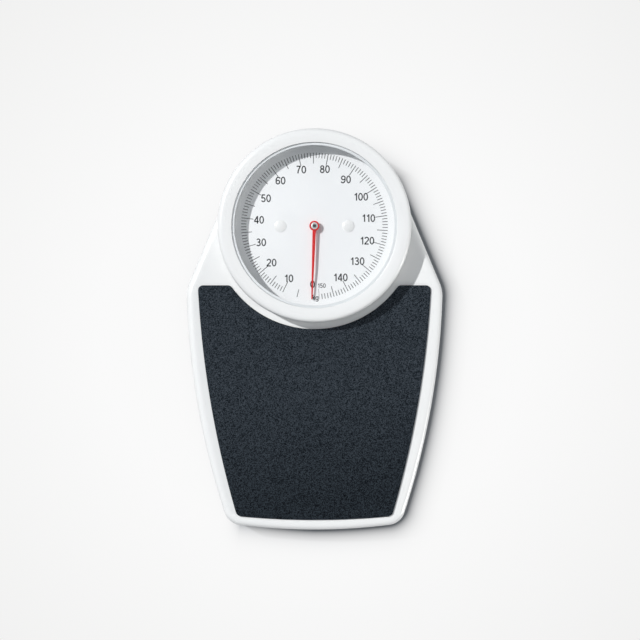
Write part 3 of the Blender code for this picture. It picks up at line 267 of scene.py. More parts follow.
def lower_crossing(centre_a, radius_a, centre_b, radius_b):
    """The crossing of two circles that lies nearer the front."""
    apart = math.dist(centre_a, centre_b)
    along = (radius_a ** 2 - radius_b ** 2 + apart ** 2) / (2 * apart)
    across = math.sqrt(radius_a ** 2 - along ** 2)
    turn = bearing(centre_a, centre_b)
    foot = polar(centre_a, along, turn)
    both = [polar(foot, across, turn + side * math.pi / 2) for side in (-1, 1)]
    return min(both, key=lambda point: point[1])


def rounded_corner(before, corner, after, radius):
    """An arc that rounds one corner of an outline between two straight stretches."""
    towards_before = bearing(corner, before)
    opening = bearing(corner, after) - towards_before
    opening = (opening + math.pi) % (2 * math.pi) - math.pi
    middle_turn = towards_before + opening / 2
    centre = polar(corner, radius / math.sin(abs(opening) / 2), middle_turn)
    half_turn = math.copysign((math.pi - abs(opening)) / 2, -opening)
    facing = middle_turn + math.pi
    return arc(centre, radius, facing - half_turn, facing + half_turn, ROUND_STEPS)


def softened(corners):
    """A closed outline from (x, y, rounding) corners."""
    points = []
    for number, (x, y, rounding) in enumerate(corners):
        before = corners[number - 1][:2]
        after = corners[(number + 1) % len(corners)][:2]
        points += rounded_corner(before, (x, y), after, rounding) if rounding else [(x, y)]
    return points


def mirrored(points):
    return [(-x, y) for x, y in reversed(points)]


def shoulder_centre(side):
    """The centre of the arc that joins the slanted shoulder line to the long side arc."""
    normal = (math.cos(SHOULDER_LEAN), math.sin(SHOULDER_LEAN))
    offset = normal[1] * HEAD_Y + HEAD_RADIUS - SHOULDER_RADIUS
    reach = SIDE_RADIUS - SHOULDER_RADIUS
    from_side = offset - normal[0] * side[0] - normal[1] * side[1]
    return polar(side, reach, SHOULDER_LEAN - math.acos(from_side / reach))


def body_outline(inset):
    """The whole outline, drawn inwards by inset: head, shoulders, sides, corners and front."""
    side = (SIDE_REACH - SIDE_RADIUS, SIDE_WIDEST_Y)
    front = (0.0, FRONT_Y + FRONT_RADIUS)
    shoulder = shoulder_centre(side)
    corner = lower_crossing(side, SIDE_RADIUS - CORNER_RADIUS, front, FRONT_RADIUS - CORNER_RADIUS)
    side_start = bearing(side, shoulder)
    side_end = bearing(side, corner)
    front_start = bearing(front, corner)
    quarter = math.pi / 2
    right = arc(HEAD, HEAD_RADIUS - inset, quarter, SHOULDER_LEAN, HEAD_ARC_STEPS)
    right += arc(shoulder, SHOULDER_RADIUS - inset, SHOULDER_LEAN, side_start, SHOULDER_STEPS)
    right += arc(side, SIDE_RADIUS - inset, side_start, side_end, SIDE_STEPS)[1:]
    right += arc(corner, CORNER_RADIUS - inset, side_end, front_start, CORNER_STEPS)[1:]
    right += arc(front, FRONT_RADIUS - inset, front_start, -quarter, FRONT_STEPS)[1:]
    return right + mirrored(right)[1:-1]


def mat_outline():
    """The mat: straight at the rear but for the round cutout, with bowed sides and front."""
    side = (MAT_SIDE_REACH - MAT_SIDE_RADIUS, MAT_SIDE_WIDEST_Y)
    front = (0.0, MAT_FRONT_RADIUS + MAT_FRONT_Y)
    rear_turn = math.asin((MAT_REAR_Y - MAT_SIDE_WIDEST_Y) / MAT_SIDE_RADIUS)
    corner = lower_crossing(side, MAT_SIDE_RADIUS, front, MAT_FRONT_RADIUS)
    side_points = arc(side, MAT_SIDE_RADIUS, rear_turn, bearing(side, corner), SIDE_STEPS)
    front_points = arc(front, MAT_FRONT_RADIUS, bearing(front, corner), -math.pi / 2, FRONT_STEPS)
    cut_turn = math.asin((MAT_REAR_Y - HEAD_Y) / MAT_CUTOUT_RADIUS)
    cutout = arc(HEAD, MAT_CUTOUT_RADIUS, -math.pi / 2, cut_turn, HEAD_ARC_STEPS)
    right = cutout[:-2]
    right += rounded_corner(cutout[-2], cutout[-1], side_points[0], MAT_CORNER_ROUND)
    right += rounded_corner(cutout[-1], side_points[0], side_points[1], MAT_CORNER_ROUND)
    right += side_points[1:-1]
    right += rounded_corner(side_points[-2], corner, front_points[1], MAT_FRONT_ROUND)
    right += front_points[1:]
    return right + mirrored(right)[1:-1]


# Modelling steps

def enter(mode):
    bpy.ops.object.mode_set(mode=mode)


def extrude(rise):
    """Extrudes what is selected straight up, or down if rise is below nought."""
    bpy.ops.mesh.extrude_region_move(TRANSFORM_OT_translate={"value": (0.0, 0.0, rise)})


def choose_all():
    bpy.ops.mesh.select_all(action="SELECT")


def let_go():
    bpy.ops.object.select_all(action="DESELECT")


def begin(add, **where):
    """Adds a primitive with nothing else selected, and goes into edit mode."""
    let_go()
    add(**where)
    enter("EDIT")
    bpy.ops.mesh.select_mode(type="VERT")
    choose_all()


def draw_line(points):
    """Draws an open line in edit mode, each point extruded from the one before."""
    begin(bpy.ops.mesh.primitive_plane_add, size=MERGE, location=points[0])
    lengthen_line(points)


def draw_another_line(points):
    """Draws an open line in the mesh that is being edited."""
    bpy.ops.mesh.primitive_plane_add(size=MERGE, location=points[0])
    lengthen_line(points)


def lengthen_line(points):
    corners = [Vector(point) for point in points]
    bpy.ops.mesh.merge(type="CENTER")
    for before, after in zip(corners, corners[1:]):
        bpy.ops.mesh.extrude_vertices_move(TRANSFORM_OT_translate={"value": after - before})


def choose(kind, wanted):
    """Selects the vertices, edges or faces for which wanted is true, in edit mode."""
    bpy.ops.mesh.select_mode(type=kind)
    bpy.ops.mesh.select_all(action="DESELECT")
    enter("OBJECT")
    mesh = bpy.context.object.data
    items = {"VERT": mesh.vertices, "EDGE": mesh.edges, "FACE": mesh.polygons}[kind]
    for item in items:
        item.select = wanted(item)
    enter("EDIT")


def edge_height(glancing_painted_reflection):
    """The heights of an edge's two ends."""
    made = bpy.context.object
    return [(made.matrix_world @ made.data.vertices[index].co).z for index in glancing_painted_reflection.vertices]


def close_line():
    """Joins the last point of a drawn line to the first."""
    enter("OBJECT")
    count = len(bpy.context.object.data.vertices)
    enter("EDIT")
    choose("VERT", lambda vert: vert.index in (0, count - 1))
    bpy.ops.mesh.edge_face_add()


def settle(name):
    """Leaves edit mode, puts the object at the origin with its place in its mesh, and names it."""
    choose_all()
    bpy.ops.mesh.remove_doubles(threshold=MERGE)
    bpy.ops.mesh.normals_make_consistent(inside=False)
    enter("OBJECT")
    bpy.ops.object.transform_apply()
    bpy.ops.object.shade_smooth_by_angle(angle=SMOOTH_ANGLE)
    made = bpy.context.object
    made.name = name
    made.data.name = name
    return made


def turned(name, section, steps=HEAD_STEPS):
    """A turned ring on the head's axis: its closed section is drawn point by point and spun."""
    draw_line([(HEAD_X + radius, HEAD_Y, height) for radius, height in section])
    close_line()
    spin_round(HEAD, steps)
    return settle(name)


def turned_solid(name, section, centre=HEAD):
    """A turned solid: its section runs from the axis at the top to the axis at the bottom."""
    draw_line([(centre[0] + radius, centre[1], height) for radius, height in section])
    spin_round(centre, SMALL_STEPS)
    return settle(name)


def spin_round(centre, steps):
    choose_all()
    bpy.ops.mesh.spin(steps=steps, angle=2 * math.pi, center=(*centre, 0.0), axis=(0.0, 0.0, 1.0))


def slab(points, bottom, top):
    """A flat solid from a closed outline, left in edit mode."""
    draw_line([(x, y, top) for x, y in points])
    choose_all()
    bpy.ops.mesh.edge_face_add()
    extrude(bottom - top)


def band_between(outer, inner, height):
    """A flat band between two closed outlines of as many points, left in edit mode."""
    draw_line([(x, y, height) for x, y in outer + outer[:1]])
    draw_another_line([(x, y, height) for x, y in inner + inner[:1]])
    choose_all()
    bpy.ops.mesh.remove_doubles(threshold=MERGE)
    bpy.ops.mesh.select_mode(type="EDGE")
    choose_all()
    bpy.ops.mesh.bridge_edge_loops()


def thick_band(outer, inner, bottom, top):
    """A flat solid between two closed outlines of as many points, left in edit mode."""
    band_between(outer, inner, top)
    choose_all()
    extrude(bottom - top)


def choose_rim(height):
    choose("EDGE", lambda glancing_painted_reflection: all(abs(z - height) < MERGE for z in edge_height(glancing_painted_reflection)))


def apply_modifier(made, kind, **settings):
    step = made.modifiers.new("Step", kind)
    for key, value in settings.items():
        setattr(step, key, value)
    bpy.context.view_layer.objects.active = made
    bpy.ops.object.modifier_apply(modifier=step.name)


def cut_away(made, cutter):
    """Cuts the cutter's shape from a piece and removes the cutter."""
    apply_modifier(made, "BOOLEAN", object=cutter, operation="DIFFERENCE", solver="EXACT")
    bpy.data.objects.remove(cutter)


def cut_block(made, place, size, turn=0.0):
    """Cuts a block from a piece, turned about the upright."""
    let_go()
    bpy.ops.mesh.primitive_cube_add(size=1.0, location=place)
    block = bpy.context.object
    block.dimensions = size
    block.rotation_euler.z = turn
    cut_away(made, block)


def join_all(name, pieces):
    let_go()
    for piece in pieces:
        piece.select_set(True)
    bpy.context.view_layer.objects.active = pieces[0]
    bpy.ops.object.join()
    pieces[0].name = name
    pieces[0].data.name = name
    return pieces[0]


def hand_over(made, body, slot, finish, *nodes):
    """Gives a piece its finish and its body and hides the CAD nodes that it stands for; the slot it is
    handed is not used.
    """
    made.data.materials.clear()
    made.data.materials.append(finish)
    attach(made, body)
    if nodes:
        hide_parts(*nodes)


# Finishes

class Wire:
    """A value or colour on its way through a material, used in ordinary sums."""

    def __init__(self, finish, socket):
        self.finish = finish
        self.socket = socket

    def sum(self, operation, first, second):
        return self.finish.node("ShaderNodeMath", {"operation": operation}, {0: first, 1: second})

    def __add__(self, other):
        return self.sum("ADD", self, other)

    def __radd__(self, other):
        return self.sum("ADD", other, self)

    def __sub__(self, other):
        return self.sum("SUBTRACT", self, other)

    def __rsub__(self, other):
        return self.sum("SUBTRACT", other, self)

    def __mul__(self, other):
        return self.sum("MULTIPLY", self, other)

    def __rmul__(self, other):
        return self.sum("MULTIPLY", other, self)

    def __truediv__(self, other):
        return self.sum("DIVIDE", self, other)

    def __pow__(self, other):
        return self.sum("POWER", self, other)

    def __rpow__(self, other):
        return self.sum("POWER", other, self)


class NodeTree:
    """The nodes of a material or of the world."""

    def __init__(self, tree):
        self.tree = tree

    def node(self, kind, settings=None, sockets=None, output=0):
        """Adds one node: its settings first, then a value or a link for each socket."""
        made = self.tree.nodes.new(kind)
        for key, value in (settings or {}).items():
            setattr(made, key, value)
        for key, value in (sockets or {}).items():
            self.feed(made.inputs[key], value)
        return Wire(self, made.outputs[output])

    def feed(self, socket, value):
        if isinstance(value, Wire):
            self.tree.links.new(value.socket, socket)
        else:
            socket.default_value = value

    def blend(self, share, first, second):
        """Runs from one colour to another."""
        sockets = {0: share, 6: opaque(first), 7: opaque(second)}
        return self.node("ShaderNodeMix", {"data_type": "RGBA"}, sockets, output=2)

    def looked_at(self):
        """One for a ray from the camera or off metal and glass, nought for light on the object."""
        straight = self.node("ShaderNodeLightPath", output="Is Camera Ray")
        mirrored_ray = self.node("ShaderNodeLightPath", output="Is Glossy Ray")
        through = self.node("ShaderNodeLightPath", output="Is Transmission Ray")
        return straight.sum("MAXIMUM", straight, straight.sum("MAXIMUM", mirrored_ray, through))


class Finish(NodeTree):
    """A procedural material on Object coordinates, which are metres on every piece."""

    def __init__(self, name, **constants):
        self.material = bpy.data.materials.new(name)
        self.material.use_nodes = True
        super().__init__(self.material.node_tree)
        self.shader = self.tree.nodes["Principled BSDF"]
        self.set(**constants)
        self.place = self.node("ShaderNodeTexCoord", output="Object")

    def set(self, **inputs):
        """Feeds the shader's sockets by name."""
        for key, value in inputs.items():
            self.feed(self.shader.inputs[key.replace("_", " ").title().replace("Ior", "IOR")], value)

    def noise(self, scale, detail=2.0, roughness=0.5, place=None):
        sockets = {"Vector": place or self.place, "Scale": scale, "Detail": detail, "Roughness": roughness}
        return self.node("ShaderNodeTexNoise", None, sockets)

    def cells(self, scale, place, output="Distance"):
        sockets = {"Vector": place, "Scale": scale}
        return self.node("ShaderNodeTexVoronoi", None, sockets, output=output)

    def spread(self, value, low, high):
        """Maps low..high to nought..one and holds it there."""
        sockets = {"Value": value, "From Min": low, "From Max": high}
        return self.node("ShaderNodeMapRange", {"clamp": True}, sockets)

    def stretched(self, scale):
        return self.node("ShaderNodeMapping", None, {"Vector": self.place, "Scale": scale})

    def axis(self, letter, vector=None):
        return self.node("ShaderNodeSeparateXYZ", None, {0: vector or self.place}, output=letter)

    def steepness(self):
        """Nought on level faces and one on upright ones."""
        facing = self.node("ShaderNodeTexCoord", output="Normal")
        return 1.0 - self.node("ShaderNodeMath", {"operation": "ABSOLUTE"}, {0: self.axis("Z", facing)})

    def bump(self, height, distance, strength=1.0):
        sockets = {"Height": height, "Distance": distance, "Strength": strength}
        return self.node("ShaderNodeBump", None, sockets)


def opaque(colour):
    return colour if isinstance(colour, Wire) else (*colour, 1.0)


# How far steep faces are greyed in the base colour: painted shade.
STEEP_FACE_PAINTED_SHADE = 0.4


def enamel_finish():
    """Baked white enamel on pressed sheet: faint ripple, duller patches, and painted shade that greys its
    steep faces.
    """
    made = Finish("baked_white_enamel", coat_weight=0.35, coat_roughness=0.12)
    patches = made.noise(14.0, 3.0)
    ripple = made.noise(420.0, 2.0)
    rub = made.spread(made.noise(60.0, 4.0, 0.6), 0.45, 0.7)
    unshaded_colour = made.blend(patches, (0.872, 0.879, 0.874), (0.900, 0.904, 0.898))
    # Painted shade: steep faces grey towards a darker colour.
    made.set(
        base_color=made.blend(STEEP_FACE_PAINTED_SHADE * made.steepness(), unshaded_colour, (0.60, 0.61, 0.60)),
        roughness=0.24 + 0.10 * patches + 0.06 * rub,
        normal=made.bump(ripple, 0.00003))
    return made.material


def moulded_finish(name, light, dark, roughness):
    """Injection-moulded plastic: even colour, faint flow marks, painted shade on its steep sides, a fine
    sparked texture.
    """
    made = Finish(name)
    flow = made.noise(9.0, 2.0, 0.4, made.stretched((1.0, 1.0, 4.0)))
    spark = made.noise(2600.0, 1.0)
    steep_painted_shade_colour = [0.7 * level for level in dark]
    # Painted shade: steep sides darken towards a deeper copy of the colour.
    made.set(
        base_color=made.blend(STEEP_FACE_PAINTED_SHADE * made.steepness(), made.blend(flow, dark, light), steep_painted_shade_colour),
        roughness=roughness + 0.08 * flow + 0.05 * spark,
        normal=made.bump(spark, 0.000012))
    return made.material


GRAINS_PER_METRE = 1300.0
GRAIN_DRIFT = 0.0006


def mat_finish():
    """Black pebbled rubber: raised grains of uneven size and tone, paler on their worn tops, with painted
    light that makes it paler towards the rear and left and darker towards the front and right.
    """
    made = Finish("pebbled_black_rubber", specular_ior_level=0.02)
    moved = made.node("ShaderNodeVectorMath", {"operation": "MULTIPLY_ADD"},
                      {0: wave(made, 560.0), 1: (GRAIN_DRIFT, GRAIN_DRIFT, GRAIN_DRIFT), 2: made.place})
    pebble = 1.0 - made.cells(GRAINS_PER_METRE, moved)
    own_colour = made.cells(GRAINS_PER_METRE, moved, output="Color")
    tone = made.spread(made.axis("X", own_colour), 0.27, 0.73)
    fine = made.noise(1500.0, 2.0)
    tops = 0.35 * made.spread(pebble, 0.30, 0.85) + 0.65 * tone
    height = pebble * (0.45 + 0.35 * tone) + fine * 0.2
    # Painted light: the mat runs from its dark colours at the front and right to its pale ones at the rear
    # and left.
    painted_light_gradient = made.spread(made.axis("Y") - 0.15 * made.axis("X"), -0.20, -0.07)
    deep = made.blend(tops, (0.0, 0.0, 0.001), (0.041, 0.053, 0.065))
    pale = made.blend(tops, (0.0, 0.002, 0.004), (0.071, 0.086, 0.104))
    made.set(
        base_color=made.blend(painted_light_gradient, deep, pale),
        roughness=0.66 + 0.25 * fine,
        normal=made.bump(height, 0.0007, 0.9))
    return made.material


def wave(made, scale):
    """A colour of three independent noises, used to push a pattern about."""
    sockets = {"Vector": made.place, "Scale": scale, "Detail": 1.0}
    return made.node("ShaderNodeTexNoise", None, sockets, output="Color")


def rubber_finish():
    """Moulded grey rubber for the feet, dusty and dull."""
    made = Finish("moulded_grey_rubber", specular_ior_level=0.3)
    dust = made.spread(made.noise(180.0, 4.0, 0.6), 0.35, 0.75)
    made.set(
        base_color=made.blend(dust, (0.055, 0.056, 0.058), (0.125, 0.122, 0.116)),
        roughness=0.72 + 0.2 * dust,
        normal=made.bump(made.noise(1800.0, 2.0), 0.00006))
    return made.material


def dial_finish():
    """White screen-printed lacquer on the dial sheet, matt with a faint tooth."""
    made = Finish("white_dial_lacquer")
    clouds = made.noise(26.0, 3.0)
    tooth = made.noise(3200.0, 1.0)
    made.set(
        base_color=made.blend(clouds, (0.930, 0.943, 0.950), (0.945, 0.956, 0.962)),
        roughness=0.48 + 0.1 * tooth,
        normal=made.bump(tooth, 0.000008))
    return made.material


def ink_finish():
    """Dark grey printing ink, a little thinner in places."""
    made = Finish("dark_grey_ink", specular_ior_level=0.15)
    thin = made.spread(made.noise(700.0, 3.0), 0.4, 0.8)
    made.set(
        base_color=made.blend(thin, (0.010, 0.011, 0.013), (0.026, 0.027, 0.030)),
        roughness=0.5 + 0.15 * thin)
    return made.material


def red_finish():
    """Red lacquer on the pointer's thin aluminium."""
    made = Finish("red_pointer_lacquer", specular_ior_level=0.12)
    streak = made.noise(240.0, 2.0, 0.5, made.stretched((3.0, 0.6, 1.0)))
    made.set(
        base_color=made.blend(streak, (0.64, 0.001, 0.001), (0.74, 0.002, 0.002)),
        roughness=0.34 + 0.12 * streak,
        normal=made.bump(streak, 0.00001))
    return made.material


def metal_finish(name, dark, light, roughness, grain, depth, pull=(1.0, 1.0, 1.0)):
    """Bare or plated metal with drawn, rolled or ground marks along one direction."""
    made = Finish(name, metallic=1.0)
    marks = made.noise(grain, 3.0, 0.6, made.stretched(pull))
    blotches = made.noise(55.0, 3.0, 0.55)
    made.set(
        base_color=made.blend(0.6 * marks + 0.4 * blotches, dark, light),
        roughness=roughness + 0.16 * blotches - 0.08 * marks,
        normal=made.bump(marks, depth))
    return made.material


def pin_finish():
    """Turned steel pin: pale at its rim, with painted shade at its middle that stands for a drilled end.
    """
    made = Finish("pin_steel_painted_hole_shade", metallic=0.6)
    level = made.node("ShaderNodeVectorMath", {"operation": "MULTIPLY"},
                      {0: made.place, 1: (1.0, 1.0, 0.0)})
    off_centre = made.node("ShaderNodeVectorMath", {"operation": "DISTANCE"},
                           {0: level, 1: (*HEAD, 0.0)}, output="Value")
    wavering = off_centre + 0.0010 * made.noise(900.0, 2.0)
    # Painted shade: the middle of the pin's end is dark, as if drilled.
    outside_hole_shade = made.spread(wavering, PIN_DARK_RADIUS, PIN_PALE_RADIUS)
    made.set(
        base_color=made.blend(outside_hole_shade, (0.02, 0.03, 0.03), (0.50, 0.50, 0.50)),
        roughness=0.45 + 0.1 * outside_hole_shade)
    return made.material


def lens_finish():
    """Clear moulded lens: nearly unseen from straight above, with a painted reflection that makes it
    milky-white only at a glancing view.
    """
    made = Finish("clear_moulded_lens", specular_ior_level=0.6)
    glancing_painted_reflection = made.node("ShaderNodeLayerWeight", None, {"Blend": 0.35}, output="Facing")
    haze = made.noise(40.0, 2.0)
    # Painted reflection: the pale lens grows opaque at a glancing view.
    made.set(
        base_color=made.blend(haze, (0.90, 0.93, 0.95), (0.95, 0.97, 0.98)),
        roughness=0.03 + 0.03 * haze,
        alpha=0.02 + 0.38 * glancing_painted_reflection ** 3.0)
    return made.material


ENAMEL = enamel_finish()
MAT_RUBBER = mat_finish()
FOOT_RUBBER = rubber_finish()
BEZEL_PLASTIC = moulded_finish("white_moulded_bezel", (0.885, 0.890, 0.885), (0.855, 0.862, 0.860), 0.26)
RING_PLASTIC = moulded_finish("pale_moulded_ring", (0.76, 0.785, 0.80), (0.71, 0.735, 0.75), 0.30)
WHEEL_PLASTIC = moulded_finish("grey_moulded_wheel", (0.27, 0.28, 0.29), (0.21, 0.22, 0.23), 0.42)
LENS_PLASTIC = lens_finish()
DIAL_PAINT = dial_finish()
INK = ink_finish()
POINTER_PAINT = red_finish()
ZINC = metal_finish("zinc_plated_steel", (0.52, 0.54, 0.56), (0.72, 0.73, 0.73), 0.30, 900.0, 0.00001)
LEVER_STEEL = metal_finish("rolled_lever_steel", (0.30, 0.31, 0.33), (0.47, 0.48, 0.50), 0.38, 500.0,
                           0.00003, (1.0, 0.08, 1.0))
KNIFE_STEEL = metal_finish("ground_knife_steel", (0.46, 0.46, 0.48), (0.64, 0.64, 0.66), 0.16, 1400.0,
                           0.00001, (0.06, 1.0, 1.0))
SPRING_STEEL = metal_finish("oiled_spring_steel", (0.20, 0.20, 0.22), (0.36, 0.35, 0.36), 0.26, 800.0,
                            0.00001)
PIN_STEEL = pin_finish()
BRASS = metal_finish("turned_brass", (0.62, 0.44, 0.18), (0.80, 0.61, 0.30), 0.22, 1600.0, 0.00001,
                     (1.0, 1.0, 0.1))

NODE_FINISHES = {
    "white_enamel": ENAMEL, "mat_rubber": MAT_RUBBER, "foot_rubber": FOOT_RUBBER,
    "bezel_plastic": BEZEL_PLASTIC, "ring_plastic": RING_PLASTIC, "lens_plastic": LENS_PLASTIC,
    "dial_paint": DIAL_PAINT, "pointer_paint": POINTER_PAINT, "zinc_steel": ZINC,
    "lever_steel": LEVER_STEEL, "knife_steel": KNIFE_STEEL, "spring_steel": SPRING_STEEL,
    "brass": BRASS, "wheel_plastic": WHEEL_PLASTIC}


def finish_kept_nodes():
    """Gives every CAD node the finish of its slot in the record."""
    slots = {part["node"]: part["material_slot"] for part in frame["record"]["subparts"]}
    for name, node in NODES.items():
        finish = NODE_FINISHES[slots[name]]
        node.data.materials.clear()
        node.data.materials.append(finish)


# Cover, pan and mat

def open_at(height):
    """Takes away the level face at this height, in edit mode."""
    lift = bpy.context.object.location.z
    choose("FACE", lambda face: abs(face.center.z + lift - height) < MERGE)
    bpy.ops.mesh.delete(type="ONLY_FACE")


def settle_sheet(name):
    """Leaves edit mode and gives the open shell the sheet's thickness, inwards."""
    made = settle(name)
    apply_modifier(made, "SOLIDIFY", thickness=SHEET, offset=-1.0, use_even_offset=True)
    return made


def make_cover():
    """The pressed cover: rounded edge, skirt with a rolled hem, a well for the head and a rear slot."""
    base = COVER_BOTTOM + HEM_RADIUS
    slab(body_outline(COVER_SHRINK), base, COVER_TOP)
    choose_rim(COVER_TOP)
    bpy.ops.mesh.bevel(offset=COVER_ROUND, segments=COVER_ROUND_STEPS, profile=COVER_SQUARENESS)
    open_at(base)
    choose_rim(base)
    roll_hem()
    cover = settle_sheet("cover_pressing")
    bpy.ops.mesh.primitive_cylinder_add(vertices=HEAD_STEPS, radius=WELL_RADIUS, depth=COVER_ROUND,
                                        location=(*HEAD, COVER_TOP))
    cut_away(cover, bpy.context.object)
    cut_rear_slot(cover, SLOT_TOP / 2, SLOT_TOP)
    apply_modifier(cover, "WEIGHTED_NORMAL", keep_sharp=True)
    hand_over(cover, "cover", "white_enamel", ENAMEL, "platform_cover")


def cut_rear_slot(made, height, depth):
    """Cuts the opening at the rear through which a thumb turns the zero wheel."""
    size = (2 * SLOT_HALF_WIDTH, 2 * SLOT_HALF_WIDTH, depth)
    cut_block(made, (0.0, HEAD_Y + HEAD_RADIUS, height), size)


def roll_hem():
    """Rolls the skirt's lower rim inwards, as a half round."""
    reaches = (SIDE_REACH, -FRONT_Y)
    before = (0.0, 0.0)
    for step in range(1, ROUND_STEPS + 1):
        turn = math.pi * step / ROUND_STEPS
        inwards = HEM_RADIUS * (1 - math.cos(turn))
        down = HEM_RADIUS * math.sin(turn)
        bpy.ops.mesh.extrude_edges_move(TRANSFORM_OT_translate={"value": (0.0, 0.0, before[1] - down)})
        shares = [(1 - inwards / reach) / (1 - before[0] / reach) for reach in reaches]
        bpy.ops.transform.resize(value=(*shares, 1.0), center_override=(0.0, 0.0, 0.0))
        before = (inwards, down)


def make_pan():
    """The pressed base pan: a rounded lower edge, screw holes, a rear slot and stiffening beads."""
    slab(body_outline(PAN_INSET), PAN_BOTTOM, PAN_TOP)
    choose_rim(PAN_BOTTOM)
    bpy.ops.mesh.bevel(offset=PAN_ROUND, segments=ROUND_STEPS)
    open_at(PAN_TOP)
    pan = settle_sheet("pan_pressing")
    for number in range(1, SCREWS + 1):
        centre = middle("post_screw_%d" % number)
        bpy.ops.mesh.primitive_cylinder_add(
            vertices=SMALL_STEPS, radius=SCREW_HOLE_RADIUS, depth=SCREW_HOLE_DEPTH,
            location=(centre.x, centre.y, PAN_BOTTOM))
        cut_away(pan, bpy.context.object)
    for x in BEAD_X:
        corners = [(x - BEAD_HALF_WIDTH, BEAD_FRONT_Y), (x + BEAD_HALF_WIDTH, BEAD_FRONT_Y),
                   (x + BEAD_HALF_WIDTH, BEAD_REAR_Y), (x - BEAD_HALF_WIDTH, BEAD_REAR_Y)]
        slab(softened([(*corner, BEAD_END_ROUND) for corner in corners]),
             PAN_BOTTOM - BEAD_DEPTH, PAN_BOTTOM + BEAD_DEPTH)
        cut_away(pan, settle("bead"))
    outer = arc(HEAD, BEAD_RING_RADIUS + BEAD_HALF_WIDTH, 0.0, 2 * math.pi, HEAD_STEPS)[:-1]
    inner = arc(HEAD, BEAD_RING_RADIUS - BEAD_HALF_WIDTH, 0.0, 2 * math.pi, HEAD_STEPS)[:-1]
    thick_band(outer, inner, PAN_BOTTOM - BEAD_DEPTH, PAN_BOTTOM + BEAD_DEPTH)
    cut_away(pan, settle("bead_ring"))
    cut_rear_slot(pan, PAN_TOP, 2 * (PAN_TOP - PAN_SLOT_BOTTOM))
    apply_modifier(pan, "WEIGHTED_NORMAL", keep_sharp=True)
    hand_over(pan, "base", "zinc_steel", ZINC, "base_pan")


def make_mat():
    """The flat rubber mat, with a softened upper edge."""
    slab(mat_outline(), MAT_BOTTOM, MAT_TOP)
    choose_rim(MAT_TOP)
    bpy.ops.mesh.bevel(offset=MAT_EDGE_ROUND, segments=MAT_EDGE_STEPS)
    mat = settle("pebbled_mat")
    apply_modifier(mat, "WEIGHTED_NORMAL", keep_sharp=True)
    hand_over(mat, "cover", "mat_rubber", MAT_RUBBER, "platform_mat")


# Head

def make_bezel():
    """The moulded ring: a sloping lip inside, a rounded crown, a thin skirt outside."""
    crown = squared_quarter(BEZEL_CROWN_RADIUS, BEZEL_RADIUS, BEZEL_TOP - BEZEL_CROWN_DEPTH, BEZEL_TOP)
    inner_wall = BEZEL_RADIUS - BEZEL_WALL
    lower = softened([
        (BEZEL_RADIUS, BEZEL_BOTTOM, BEZEL_EDGE_ROUND), (inner_wall, BEZEL_BOTTOM, BEZEL_EDGE_ROUND),
        (inner_wall, BEZEL_RIB_Z, BEZEL_EDGE_ROUND), (COLLAR_FIT_RADIUS, BEZEL_RIB_Z, 0.0),
        (COLLAR_FIT_RADIUS, LENS_BOTTOM, 0.0), (LENS_FIT_RADIUS, LENS_BOTTOM, 0.0),
        (LENS_FIT_RADIUS, OVER_LENS, 0.0), (BEZEL_INNER_RADIUS, OVER_LENS, 0.0),
        (BEZEL_INNER_RADIUS, BEZEL_INNER_TOP, BEZEL_LIP_ROUND), crown[0] + (0.0,), crown[-1] + (0.0,)])
    lip = lower[:-2]
    slope = eased(lip[-1], crown[0])
    bezel = turned("bezel_moulding", lip + slope + crown[1:-1])
    hand_over(bezel, "cover", "bezel_plastic", BEZEL_PLASTIC, "bezel_ring")


def squared_quarter(start, end, bottom, top):
    """A crown from its top at start down to its side at end, fuller than a quarter of an ellipse."""
    points = []
    for step in range(CROWN_STEPS + 1):
        turn = math.pi / 2 * step / CROWN_STEPS
        across = math.sin(turn) ** (2 / BEZEL_CROWN_POWER)
        up = math.cos(turn) ** (2 / BEZEL_CROWN_POWER) if step < CROWN_STEPS else 0.0
        points.append((start + (end - start) * across, bottom + (top - bottom) * up))
    return points


def eased(start, end):
    """A line that rises from start and levels off at end."""
    points = []
    for step in range(1, ROUND_STEPS + 1):
        share = step / ROUND_STEPS
        rise = 1 - (1 - share) ** BEZEL_LIP_EASE
        points.append((start[0] + (end[0] - start[0]) * share, start[1] + (end[1] - start[1]) * rise))
    return points


def make_lens_ring():
    """The pale ring that lies on the lens, with a rounded top."""
    inner_top = LENS_RING_TOP - LENS_RING_SLOPE
    section = softened([
        (LENS_RING_INNER, OVER_LENS, 0.0), (LENS_RING_INNER, inner_top, LENS_RING_ROUND),
        (LENS_RING_OUTER, LENS_RING_TOP, LENS_RING_ROUND), (LENS_RING_OUTER, OVER_LENS, 0.0)])
    seal = turned("lens_trim_ring", section)
    hand_over(seal, "cover", "ring_plastic", RING_PLASTIC, "lens_ring")


# Dial print

def kilo_turn(kilos):
    """The direction of a load on the dial, from straight down and clockwise."""
    return -math.pi / 2 - ZERO_TURN - kilos * KILO_TURN


def tick(kilos, length, width):
    """One printed tick, as a thin raised bar in the mesh that is being edited."""
    turn = kilo_turn(kilos)
    x, y = polar(HEAD, TICK_OUTER - length / 2, turn)
    bpy.ops.mesh.primitive_cube_add(size=1.0, location=(x, y, DIAL_TOP + INK_HEIGHT / 2),
                                    rotation=(0.0, 0.0, turn), scale=(length, width, INK_HEIGHT))


def make_ticks():
    """All printed ticks, starting in a mesh that is emptied first."""
    begin(bpy.ops.mesh.primitive_cube_add, size=MERGE, location=(*HEAD, DIAL_TOP + INK_HEIGHT / 2))
    bpy.ops.mesh.delete(type="VERT")
    for kilos in range(TICK_FIRST, KILOS):
        length = TICK_TEN if kilos % 10 == 0 else TICK_FIVE if kilos % 5 == 0 else TICK_ONE
        tick(kilos, length, TICK_WIDTH)
    tick(5, TICK_FIVE - TICK_ONE / 2, TICK_WIDTH)
    tick(KILOS, TICK_FIVE, TICK_WIDTH / 2)
    return settle("ticks")


